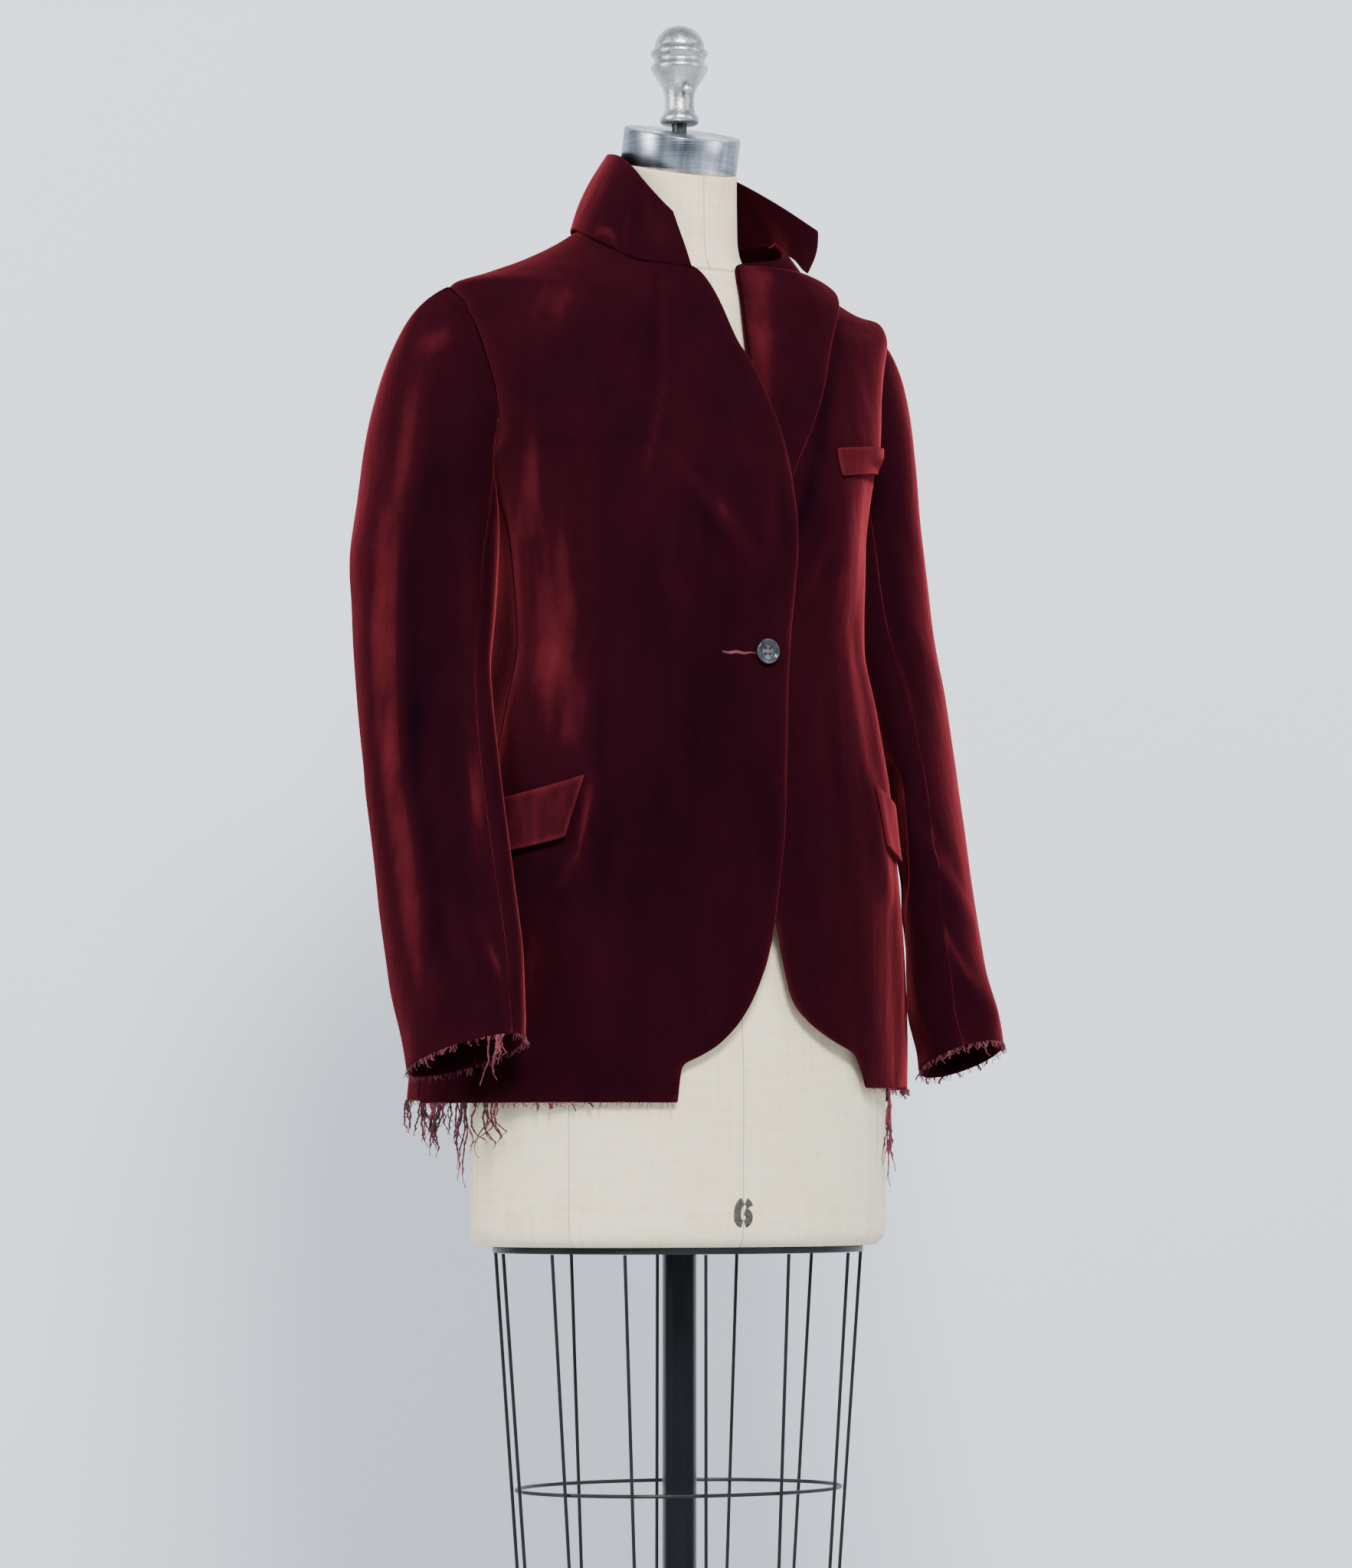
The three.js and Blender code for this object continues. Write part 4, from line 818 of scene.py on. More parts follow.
def front_place(side, edge, hem, lift):
    """Gives the place of a front's grid point; u runs from the side to the cut edge."""
    height = heights_along(edge, hem, FRONT_TOP)

    def place(u, w):
        z = height(w)
        turn = mix(side * math.pi / 2, turn_at(value(edge, "x", z), z), u)
        x = value(BODY, "half", z) * math.sin(turn)
        return shouldered(body_point("front", turn, z, lift(x, z), side), side)
    return place


# Painted highlights and painted shade of a front: its strokes, with painted highlights along the cut edge and the hem.
def front_painted_light(strokes):
    def painted_light(u, w, spot):
        glow = painted_edge_highlight((1 - u) * FRONT_ACROSS) + painted_hem_highlight(spot.z - FRONT_HEM)
        return strokes_at(strokes, spot.x, spot.z) + glow
    return painted_light


right_place = front_place(-1, RIGHT_EDGE, 850, lambda x, z: 0)
left_place = front_place(1, LEFT_EDGE, 862, underlap)
front_right = cloth_sheet("jacket_front_right", "front_right", right_place, 64, 150,
                          front_painted_light(RIGHT_FRONT_PAINTED_LIGHT))
front_left = cloth_sheet("jacket_front_left", "front_left", left_place, 46, 110,
                         front_painted_light(LEFT_FRONT_PAINTED_LIGHT))

# %% [markdown]
# The two backs meet at a plain seam down the middle. The photograph doesn't show them, so
# they carry the same velvet and quiet creases of the same kind.

# %% The backs
BACK_HEM = 853
BACK_TOP = 1540
BACK_ACROSS = 190
BACK_SEAM_DIP = {"depth": 1.2, "width": 3.5, "half_gap": 0.02}


def back_place(side):
    d = BACK_SEAM_DIP

    def place(u, w):
        z = mix(BACK_HEM, BACK_TOP, w)
        turn = side * mix(d["half_gap"] / value(BODY, "half", z), math.pi / 2, u)
        dip = -d["depth"] * math.exp(-(u * BACK_ACROSS / d["width"]) ** 2)
        return shouldered(body_point("back", turn, z, dip), side)
    return place


# Painted light of a back: a regular pattern of lighter and darker patches, with painted highlights along the middle
# seam and the hem.
def back_painted_light(u, w, spot):
    glow = 0.4 * painted_edge_highlight(u * BACK_ACROSS, 4) + painted_hem_highlight(spot.z - BACK_HEM - 2)
    return 0.12 * math.sin(spot.x * 0.045) * math.sin(spot.z * 0.016) + glow


backs = {hand: cloth_sheet(f"jacket_back_{hand}", f"back_{hand}", back_place(side), 38, 104,
                           back_painted_light) for side, hand in SIDES}

# %% [markdown]
# The left lapel is folded out and lies on the left front with a soft roll. The right lapel is
# turned in behind its edge, which makes that edge a thick, uneven roll with a stitched ridge.

# %% Lapels
LAPEL_LOW = 1268
LAPEL_TOP = 1509
LAPEL_ROLL = {"height": 4.5, "low": 1360, "high": 1430}
TURNED_LOW = 1297
TURNED_TOP = 1494
TURNED_WIDTH = 25
TURNED_WALL = 1.6


def lapel_place(u, w):
    z = mix(LAPEL_LOW, LAPEL_TOP, w)
    turn = mix(turn_at(value(LAPEL, "roll", z), z), turn_at(value(LAPEL, "outer", z), z), u)
    x = value(BODY, "half", z) * math.sin(turn)
    clear = smoothstep(z, LAPEL_ROLL["low"], LAPEL_ROLL["high"])
    roll = LAPEL_ROLL["height"] * math.sin(math.pi * (0.9 * u + 0.05)) * clear
    return body_point("front", turn, z, underlap(x, z) + LAYER_GAP + CLOTH + roll)


# Painted highlights on the left lapel: a broad one near its roll, growing towards the top, and a thin one along its
# outer edge.
def lapel_painted_highlight(u, w, spot):
    inner = 0.30 * math.exp(-((u - 0.12) / 0.22) ** 2)
    outer = 0.30 * math.exp(-((1 - u) / 0.035) ** 2)
    return inner * smoothstep(w, 0.2, 0.8) + outer


def turned_place(u, w):
    z = mix(TURNED_LOW, TURNED_TOP, w)
    x = value(RIGHT_EDGE, "x", z) - 1 - TURNED_WIDTH * u
    return body_point("front", turn_at(x, z), z, -CLOTH - LAYER_GAP, -1)


lapel_left = cloth_sheet("jacket_lapel_left", "lapel_left", lapel_place, 22, 50, lapel_painted_highlight)
lapel_turned = cloth_sheet("jacket_lapel_turned_right", "lapel_turned_right", turned_place, 6, 40,
                           None, TURNED_WALL)

# %% [markdown]
# The collar stands up all round and leans in towards the neck, and its left tip flares out.
# It follows two smooth curves through stations, one along its foot and one along its top.

# %% Collar
COLLAR = table(
    "at x y z top_x top_y top_z",
    (0, -20, -66.6, 1503.8, -34, -61, 1546), (1, -44, -61, 1505.8, -47, -47, 1566),
    (2, -66.5, -54.2, 1510.2, -52, -28, 1584), (3, -86.6, -28.5, 1527.5, -54, -4, 1598),
    (4, -86.6, 12, 1540.2, -50, 24, 1605), (5, -68, 47, 1539.8, -38, 46, 1608),
    (6, 0, 67, 1539.8, 0, 59, 1609), (7, 68, 47, 1539.8, 44, 46, 1604),
    (8, 86, 12, 1540, 62, 20, 1590), (9, 88, -27, 1526.5, 84, -12, 1567),
    (10, 88, -52, 1507, 101, -46, 1542),
)
COLLAR_BULGE = 3
COLLAR_DROP = {"all": 1.6, "left": 3.2}
# Strokes of painted highlight and painted shade on the collar.
COLLAR_PAINTED_LIGHT = [  # along and up in hundredths and tenths, then width and strength
    (31, 0.4, 26.5, 1.6, 0.7, 0.22), (26.5, 1.6, 24, 0.6, 0.7, 0.20),
    (22, 1.0, 21, 4.2, 0.6, 0.24), (4, 2, 14, 7, 3.0, 0.10), (30, 8, 36, 5, 3.0, 0.10),
    (8, 9, 10, 5, 1.5, -0.10),
]
COLLAR_CREASES = [  # along, up, along, up, depth, width, with along and up as shares
    (0.235, 0.02, 0.262, 0.42, -2.2, 0.016), (0.285, 0.05, 0.262, 0.40, 1.6, 0.014),
    (0.19, 0.95, 0.10, 0.25, 1.8, 0.03), (0.42, 0.10, 0.45, 0.80, 1.6, 0.03),
    (0.62, 0.15, 0.60, 0.85, -1.6, 0.03), (0.83, 0.10, 0.80, 0.75, 1.6, 0.025),
]


def through_stations(share, names):
    """A point on the smooth curve through the collar's stations."""
    places = list(zip(*(COLLAR[name] for name in names)))
    last = len(places) - 1
    first = min(int(share * last), last - 1)
    t = share * last - first
    a, b, c, d = [Vector(places[clamp(first + k, 0, last)]) for k in (-1, 0, 1, 2)]
    if first == 0:
        a = 2 * b - c
    if first == last - 1:
        d = 2 * c - b
    return 0.5 * (2 * b + (c - a) * t + (2 * a - 5 * b + 4 * c - d) * t ** 2
                  + (3 * b - a - 3 * c + d) * t ** 3)


COLLAR_FOLDS = [(a * 100, b * 10, c * 100, d * 10, depth, width * 100)
                for a, b, c, d, depth, width in COLLAR_CREASES]
COLLAR_HEIGHT = 60
COLLAR_ROUND = 400
COLLAR_WALL = 2.2
COLLAR_CLOSENESS = 0.1


def collar_place(u, w):
    """The foot is let down a little over the fronts, most behind the left tip."""
    foot = through_stations(u, ("x", "y", "z"))
    top = through_stations(u, ("top_x", "top_y", "top_z"))
    near_tip = smoothstep(u, 0.70, 0.82) * (1 - smoothstep(u, 0.95, 1.0))
    foot.z -= COLLAR_DROP["all"] + COLLAR_DROP["left"] * near_tip
    point = foot.lerp(top, w)
    out = away_from_axis(point).normalized()
    folds = crease_lift(COLLAR_FOLDS, u * 100, w * 10)
    wave = waviness(point.x, point.y, point.z, 40, 0.6) * math.sin(math.pi * w)
    return point + out * (COLLAR_BULGE * math.sin(math.pi * w) + folds + wave)


# Painted highlights along the collar's top edge and both ends, with its strokes of painted light and shade.
def collar_painted_light(u, w, spot):
    painted_top_highlight = 0.7 * painted_edge_highlight((1 - w) * COLLAR_HEIGHT, 3)
    ends = 0.6 * painted_edge_highlight((1 - u) * COLLAR_ROUND, 3.5) + 0.5 * painted_edge_highlight(u * COLLAR_ROUND, 3.5)
    return painted_top_highlight + ends + strokes_at(COLLAR_PAINTED_LIGHT, u * 100, w * 10)


collar = cloth_sheet("jacket_collar", "collar", collar_place, 96, 16, collar_painted_light, COLLAR_WALL,
                     COLLAR_CLOSENESS)

# %% [markdown]
# Each sleeve has an upper and an under panel. Its head starts on the armhole and swells over
# the shoulder, then rings follow the forward bend of the arm down to a slanted, frayed cuff.
# The creases are given by degrees round the arm and height, and the width of one degree is
# taken as 0.8 mm of cloth.

# %% Rings of the sleeve
SLEEVE = table(
    "z x y half_x half_y skew",
    (885, 210, -68, 41, 44, 0.25), (905, 209.5, -63, 42, 46, 0.28),
    (957, 209.5, -45, 41.5, 50, 0.52), (1095, 210.8, -2, 39.7, 54, 0.68),
    (1177, 207.5, 26, 41.7, 55, 0.53), (1235, 200.2, 44, 47.8, 58, 0.39),
    (1283, 196, 53, 50, 64, 0.32), (1322, 190, 56, 50, 69, 0.23), (1345, 186, 58, 51, 72, 0.16),
)
SHOULDER_TIP = 1478
UNDERARM = 1350
SLEEVE_TOP = 1345
CUFF = 885
HEAD_ROWS = 5
ARM_ROWS = 10
CUFF_SLOPE = 0.32
CUFF_LEAN = {1: 0.17, -1: -0.12}
BODY_CLEARANCE = {"most": 3.6, "least": 2.4, "low": 1285, "high": 1320}
FLAP_ROOM = 7.5
FRONT_SEAM = -120
BACK_SEAM = 120
LEFT_OUT = {"most": 10, "top": 1345, "bottom": 885, "cuff_in": 9, "cuff_from": 925}
SLEEVE_CREASES = {
    -1: [  # degrees, z, degrees, z, depth, width in mm
        (-112, 1335, -70, 1285, -2.4, 11), (-122, 1300, -88, 1262, 2.0, 10),
        (-118, 1150, -60, 1120, -1.8, 14), (-120, 1118, -75, 1080, 1.6, 13),
        (-20, 1240, -12, 980, 1.8, 18), (-104, 990, -116, 915, -2.4, 9),
        (-92, 975, -100, 905, 2.0, 9), (60, 1150, 20, 1110, -2.0, 14),
        (95, 1240, 60, 1190, 1.8, 14), (30, 1000, 60, 930, 1.6, 15),
        (150, 1120, 175, 1080, -1.8, 12), (-45, 1420, -30, 1340, -1.6, 13),
    ],
    1: [
        (-165, 1105, -95, 1040, -2.6, 10), (-150, 1060, -70, 990, 2.6, 11),
        (-160, 1020, -80, 945, -2.4, 10), (-140, 985, -60, 920, 2.4, 10),
        (-118, 1335, -75, 1290, -2.0, 11), (-110, 1250, -70, 1200, 1.6, 14),
        (60, 1150, 20, 1110, -2.0, 14), (95, 1240, 60, 1190, 1.8, 14),
        (30, 1000, 60, 930, 1.6, 15), (-30, 1180, -20, 960, 1.8, 18),
        (-45, 1420, -30, 1340, -1.6, 13), (-175, 960, -150, 905, 1.8, 9),
    ],
}
DEGREE = 0.8
CUFF_REACH = 250
TURN_STEP = 0.03
ROW_STEP = 0.15
FLAP_REACH = (1000, 1035, 1105, 1150)
ARMHOLE_GAP = 0.3


def near_cuff(z):
    return smoothstep(SLEEVE_TOP - z, CUFF_REACH, SLEEVE_TOP - CUFF)


def on_cloth(strokes):
    """Strokes given in degrees and heights, with the degrees as millimetres of cloth."""
    return [(a * DEGREE, b, c * DEGREE, d, *rest) for a, b, c, d, *rest in strokes]


SLEEVE_FOLDS = {side: on_cloth(creases) for side, creases in SLEEVE_CREASES.items()}


def armhole_point(turn):
    rise = 0.5 + 0.5 * math.cos(turn)
    z = mix(UNDERARM, SHOULDER_TIP, rise)
    face = "front" if math.sin(turn) < 0 else "back"
    return Vector((value(BODY, "half", z) + ARMHOLE_GAP, side_y(face, z), z))


def clear_of_body(point):
    """Keeps a point of the sleeve outside the body's panels and the pocket flap."""
    if point.z >= SHOULDER_TIP:
        return point
    face = "front" if point.y < value(BODY, "side", point.z) else "back"
    side = side_y(face, point.z)
    reach = (point.y - side) / (value(BODY, face, point.z) - side)
    if reach >= 1 or (reach < 0 and point.z > UNDERARM):
        return point
    wall = value(BODY, "half", point.z) * math.sqrt(1 - reach * reach)
    c = BODY_CLEARANCE
    clearance = mix(c["most"], c["least"], smoothstep(point.z, c["low"], c["high"]))
    if face == "front":
        low, full, ease, high = FLAP_REACH
        by_flap = smoothstep(point.z, low, full) * (1 - smoothstep(point.z, ease, high))
        clearance += FLAP_ROOM * by_flap
    point.x = max(point.x, wall + clearance)
    return point


def arm_point(turn, z):
    skew = value(SLEEVE, "skew", z)
    x = value(SLEEVE, "x", z) + value(SLEEVE, "half_x", z) * math.cos(turn)
    across = skew * math.cos(turn) + math.sqrt(1 - skew * skew) * math.sin(turn)
    forward_y = value(SLEEVE, "half_y", z) * across
    y = value(SLEEVE, "y", z) + forward_y
    return clear_of_body(Vector((x, y, z - CUFF_SLOPE * near_cuff(z) * forward_y)))


def sleeve_point(turn, row):
    """A point of the left sleeve; turn is 0 outwards and grows to the back."""
    if row >= HEAD_ROWS:
        return arm_point(turn, mix(SLEEVE_TOP, CUFF, (row - HEAD_ROWS) / ARM_ROWS))
    t = row / HEAD_ROWS
    start = armhole_point(turn)
    if row <= 0:
        return start
    end = arm_point(turn, SLEEVE_TOP)
    corner = Vector((mix(start.x, end.x, 0.85), mix(start.y, end.y, 0.85),
                     mix(start.z, end.z, 0.15)))
    return clear_of_body(start * (1 - t) ** 2 + corner * 2 * t * (1 - t) + end * t * t)


def leaned(point, row, side):
    """Tips the cuff down on its outer side, by a different amount on each sleeve."""
    z = mix(SLEEVE_TOP, CUFF, clamp((row - HEAD_ROWS) / ARM_ROWS))
    outwards = point.x - value(SLEEVE, "x", z)
    return point + Vector((0, 0, CUFF_LEAN[side] * near_cuff(point.z) * outwards))


def hung(point, side):
    """The left sleeve hangs a little further out; the right one is mirrored and raised."""
    if side < 0:
        return shouldered(Vector((-point.x, point.y, point.z)), side)
    h = LEFT_OUT
    z = clamp(point.z, h["bottom"], h["top"])
    across = (point.x - value(SLEEVE, "x", z)) / value(SLEEVE, "half_x", z)
    outward = 0.5 + 0.5 * clamp(across, -1)
    along = clamp((h["top"] - point.z) / (h["top"] - h["bottom"]))
    out = h["most"] * outward * math.sin(math.pi * along) ** 2
    out += h["cuff_in"] * (1 - outward) * (1 - smoothstep(point.z, h["bottom"], h["cuff_from"]))
    return Vector((point.x + out, point.y, point.z))


def sleeve_surface(side, degrees, row):
    """The sleeve's outer face with its creases, on the wearer's right for side -1."""
    turn, last = math.radians(degrees), HEAD_ROWS + ARM_ROWS
    point = sleeve_point(turn, row)
    round_it = sleeve_point(turn + TURN_STEP, row) - sleeve_point(turn - TURN_STEP, row)
    down_it = (sleeve_point(turn, min(row + ROW_STEP, last))
               - sleeve_point(turn, max(row - ROW_STEP, 0.01)))
    out = down_it.cross(round_it).normalized()
    if out.dot(Vector((math.cos(turn), math.sin(turn), 0.3))) < 0:
        out.negate()
    folds = sum(crease_lift(SLEEVE_FOLDS[side], (degrees + lap) * DEGREE, point.z)
                for lap in (-360, 0, 360))
    folds += waviness(point.x * side, point.y, point.z, 60, 0.8)
    point = point + out * folds * smoothstep(row, 0, 1.6) * 0.9
    return hung(leaned(point, row, side), side)


# %% Sleeve panels
SLEEVE_LENGTH = 640


def sleeve_outwards(side):
    def outwards(point):
        z = clamp(point.z / MM, CUFF, SLEEVE_TOP)
        centre = Vector((side * value(SLEEVE, "x", z), value(SLEEVE, "y", z), 0)) * MM
        return away_from_axis(point - centre)
    return outwards


def sleeve_place(side, start, end):
    def place(u, w):
        return sleeve_surface(side, mix(start, end, u), (1 - w) * (HEAD_ROWS + ARM_ROWS))
    return place


# Strokes of painted highlight and painted shade on each sleeve, in degrees round the arm and heights.
SLEEVE_PAINTED_LIGHT = {
    -1: [(-38, 1440, -40, 900, 12, 0.25), (-30, 1400, -28, 920, 14, 0.10),
         (-60, 1340, -58, 950, 7, -0.16), (-84, 1400, -80, 950, 20, -0.12),
         (-108, 1120, -104, 1030, 2.5, 0.26), (-114, 1120, -112, 1040, 2.5, 0.22),
         (-96, 990, -108, 940, 4, 0.24), (-110, 960, -112, 900, 6, 0.14),
         (-104, 1290, -112, 1200, 6, 0.14), (-20, 1450, -60, 1440, 12, 0.10),
         (-72, 1000, -84, 925, 6, 0.12)],
    1: [(-150, 1100, -104, 1046, 5, 0.20), (-140, 1064, -84, 1000, 5, 0.22),
        (-150, 1024, -92, 952, 5, 0.20), (-130, 985, -70, 925, 5, 0.16),
        (-110, 1350, -105, 1180, 12, -0.10), (-64, 1380, -70, 1120, 7, 0.14),
        (-30, 1000, -36, 900, 9, 0.12), (-128, 1240, -120, 1150, 6, 0.14)],
}


# Painted light of a sleeve panel: its strokes, with painted highlights along both seams and at the cuff.
def sleeve_painted_light(side, start, end):
    strokes = on_cloth(SLEEVE_PAINTED_LIGHT[side])

    def painted_light(u, w, spot):
        seam = 0.5 * painted_edge_highlight(min(u, 1 - u) * abs(end - start) * DEGREE, 3)
        cuff = 0.6 * painted_edge_highlight(w * SLEEVE_LENGTH, 5)
        return strokes_at(strokes, mix(start, end, u) * DEGREE, spot.z) + seam + cuff
    return painted_light


sleeves = {}
for side, hand in SIDES:
    for part, start, end, columns in (("upper", FRONT_SEAM, BACK_SEAM, 50),
                                      ("under", BACK_SEAM, 360 + FRONT_SEAM, 24)):
        sleeves[part, hand] = cloth_sheet(
            f"jacket_sleeve_{part}_{hand}", f"sleeve_{part}_{hand}",
            sleeve_place(side, start, end), columns, 104, sleeve_painted_light(side, start, end),
            CLOTH, 0.15, sleeve_outwards(side))

# %% [markdown]
# The pocket flaps and the breast welt are small doubled patches laid on the fronts. A flap
# hangs from its top edge and stands off a little lower down.

# %% Flaps and welt
FLAP = {"top_in": (121, 1100), "top_out": (170, 1083),
        "low_in": (132, 1052), "low_out": (172.5, 1040)}
WELT = {"top_in": (85, 1361), "top_out": (152, 1371), "low_in": (88, 1339), "low_out": (150, 1350)}
FLAP_WALL = 2.4
FLAP_LIFT = 1.0
FLAP_STAND = {-1: 3.5, 1: 0.8}
WELT_LIFT = 1.3


def patch_place(side, patch, lift, stand):
    """The place of a patch with four corners, which stands off a little at its low edge."""
    corners = {name: Vector(spot) for name, spot in patch.items()}

    def place(u, w):
        down = 1 - w
        inner = corners["top_in"].lerp(corners["low_in"], down)
        outer = corners["top_out"].lerp(corners["low_out"], down)
        x, z = inner.lerp(outer, u)
        return body_point("front", side * abs(turn_at(x, z)), z, lift + stand * down, side)
    return place


# A flap or welt is painted lighter all over, with a painted highlight along its four edges.
def patch_painted_light(u, w, spot):
    edge = max(math.exp(-(u / 0.04) ** 2), math.exp(-((1 - u) / 0.04) ** 2),
               math.exp(-((1 - w) / 0.08) ** 2), math.exp(-(w / 0.06) ** 2))
    return 0.22 + 0.16 * edge


flaps = {}
for side, hand in SIDES:
    place = patch_place(side, FLAP, FLAP_LIFT + FLAP_WALL, FLAP_STAND[side])
    flaps[hand] = cloth_sheet(f"jacket_flap_{hand}", f"flap_{hand}", place, 22, 22, patch_painted_light,
                              FLAP_WALL, 0.3)
welt = cloth_sheet("jacket_breast_welt", "breast_welt", patch_place(1, WELT, WELT_LIFT + CLOTH, 0),
                   28, 10, patch_painted_light, CLOTH, 0.3)

# %% [markdown]
# The hem and cuffs are raw edges. The solids have a narrow strip of frayed weave along each,
# and here threads hang in its place, in clumps where the weave has come apart and as short fuzz
# elsewhere. Each thread is a thin tube with three or four sides, bent along a wavering line. All
# of it is made with one seeded random series, so that every run gives the same threads.

# %% Threads
thread_random = random.Random(11)
thread = noisy_material(
    "frayed_thread", [(90, (1, 1, 1), 2), (2600, (1, 1, 1), 1)], 0.5, (1, 0),
    [(0.3, (0.018, 0.002, 0.005)), (0.5, (0.075, 0.007, 0.015)), (0.7, (0.20, 0.030, 0.048))],
    (1, 0.4, 0.0003),
    {"Roughness": 0.8, "Sheen Weight": 0.3, "Sheen Tint": (0.7, 0.16, 0.2, 1)})


def tube_along(bm, points, radii, sides=4, closed=False):
    """Adds a tube to a bmesh along points in millimetres; a grid is wrapped round them."""
    count = len(points)
    grid = bmesh.ops.create_grid(bm, x_segments=sides, y_segments=count - 1, size=1)["verts"]
    frames = []
    side = None
    for i in range(count):
        ahead = points[min(i + 1, count - 1)] - points[max(i - 1, 0)]
        if closed and i in (0, count - 1):
            ahead = points[1] - points[-2]
        ahead.normalize()
        if side is None:
            side = ahead.orthogonal().normalized()
        side = (side - ahead * side.dot(ahead)).normalized()
        frames.append((side.copy(), ahead.cross(side)))
    for corner in grid:
        share_round, share_along = grid_shares(corner)
        around = round(share_round * sides) % sides
        at = round(share_along * (count - 1))
        first, second = frames[at]
        turn = 2 * math.pi * around / sides
        reach = radii[at] if isinstance(radii, list) else radii
        corner.co = (points[at] + (first * math.cos(turn) + second * math.sin(turn)) * reach) * MM
    bmesh.ops.remove_doubles(bm, verts=grid, dist=1e-7)


BENDS = 14
FUZZ_BENDS = 4
TWINNED = 0.7
TWIN_REACH = 0.9
TWIN_TURN = 2.2
ROOT_RISE = 0.6
FUZZ_RISE = 0.8


def hanging_thread(root, length, drift, curl, bends=BENDS):
    """The points of one thread that hangs from its root with a wandering curl."""
    phase = thread_random.uniform(0, 6)
    points = []
    for i in range(bends + 1):
        t = i / bends
        swing = curl * t * math.sin(5.5 * t + phase) + 0.4 * math.sin(17 * t + 2 * phase)
        sway = 0.7 * curl * t * math.cos(6.3 * t + phase)
        hop = 0.6 * curl * t * t * math.sin(4 * t + phase)
        points.append(root + Vector((drift.x * t + swing, drift.y * t + sway, hop - length * t)))
    return points


def random_drift(across, deep):
    x = thread_random.uniform(-across, across)
    return Vector((x, thread_random.uniform(-deep, deep), 0))


def long_thread(bm, root, longest, curl):
    """One thread of a clump, in most cases with a second one twisted round it."""
    length = longest * thread_random.uniform(0.45, 1.0)
    drift = random_drift(5, 4)
    points = hanging_thread(root, length, drift, curl * thread_random.uniform(0.5, 1.2))
    radii = [mix(0.75, 0.30, (i / BENDS) ** 2) * (1 + 0.35 * math.sin(2.4 * i))
             for i in range(BENDS + 1)]
    tube_along(bm, points, radii)
    if thread_random.random() < TWINNED:
        twin = [p + Vector((TWIN_REACH * math.cos(TWIN_TURN * i),
                            TWIN_REACH * math.sin(TWIN_TURN * i), 0))
                for i, p in enumerate(points[:BENDS - 1])]
        tube_along(bm, twin, 0.5)


def frayed_edge(name, node, place, clumps, fuzz):
    """Threads below the sheet's lower edge; clumps are share, spread, count, longest, curl."""
    bm = bmesh.new()
    for share, spread, count, longest, curl in clumps:
        for _ in range(count):
            u = clamp(share + spread * (thread_random.random() - 0.5), 0.004, 0.996)
            long_thread(bm, place(u, 0) + Vector((0, 0, ROOT_RISE)), longest, curl)
    for _ in range(fuzz):
        u = clamp(thread_random.random(), 0.003, 0.997)
        root = place(u, 0) + Vector((0, 0, FUZZ_RISE))
        length = thread_random.uniform(1.5, 5.5)
        fuzz_points = hanging_thread(root, length, random_drift(2.5, 2), 0.8, FUZZ_BENDS)
        tube_along(bm, fuzz_points, 0.28, 3)
    return dressed(name, node, bm, thread, "frayed_thread")


fringe_right = frayed_edge("fray_hem_front_right", "fringe_front_right", right_place, [
    (0.03, 0.05, 7, 34, 2), (0.13, 0.08, 10, 46, 3), (0.27, 0.05, 7, 64, 4),
    (0.38, 0.10, 8, 44, 8), (0.75, 0.4, 5, 8, 1)], 130)
fringe_left = frayed_edge("fray_hem_front_left", "fringe_front_left", left_place, [
    (0.80, 0.006, 8, 80, 2.5), (0.35, 0.4, 5, 9, 1)], 60)
fringe_backs = {hand: frayed_edge(
    f"fray_hem_back_{hand}", f"fringe_back_{hand}", back_place(side),
    [(0.15, 0.12, 5, 22, 2), (0.48, 0.14, 6, 36, 3), (0.84, 0.12, 6, 30, 2.5)], 90)
    for side, hand in SIDES}


def whole_cuff(side):
    """The cuff's edge all round, starting at the front seam."""
    def place(u, w):
        return sleeve_surface(side, FRONT_SEAM + 360 * u, HEAD_ROWS + ARM_ROWS)
    return place


CUFF_CLUMPS = {-1: [(0.06, 0.05, 6, 38, 3), (0.5, 0.6, 8, 8, 1), (0.9, 0.1, 6, 9, 1.2)],
               1: [(0.06, 0.1, 4, 10, 1.5), (0.5, 0.6, 8, 7, 1), (0.9, 0.1, 5, 8, 1.2)]}
fringe_cuffs = {hand: frayed_edge(f"fray_cuff_{hand}", f"fringe_cuff_{hand}", whole_cuff(side),
                                  CUFF_CLUMPS[side], 150) for side, hand in reversed(SIDES)}

# %% [markdown]
# Every panel is declared as cloth with the size that it was cut to. The threads at an edge go
# with the panel that they hang from.

FRONTS = {"left": front_left, "right": front_right}
for panel, threads in ((front_right, fringe_right), (front_left, fringe_left),
                       (backs["left"], fringe_backs["left"]),
                       (backs["right"], fringe_backs["right"])):
    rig.sheet(panel, held="hung", rests_on=["form_torso"], with_pieces=[threads],
             **cuts[panel.name])
for panel, below in ((lapel_left, [front_left]), (lapel_turned, [front_right]),
                     (collar, [front_right, front_left])):
    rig.sheet(panel, held="folded", rests_on=below, **cuts[panel.name])
for (part, hand), panel in sleeves.items():
    threads = [fringe_cuffs[hand]] if part == "upper" else []
    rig.sheet(panel, held="hung", rests_on=[FRONTS[hand]], with_pieces=threads,
             **cuts[panel.name])
for hand, patch in flaps.items():
    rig.sheet(patch, held="hung", rests_on=[FRONTS[hand]], **cuts[patch.name])
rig.sheet(welt, held="laid", rests_on=[front_left], **cuts[welt.name])
print("sheets declared:", len(cuts))

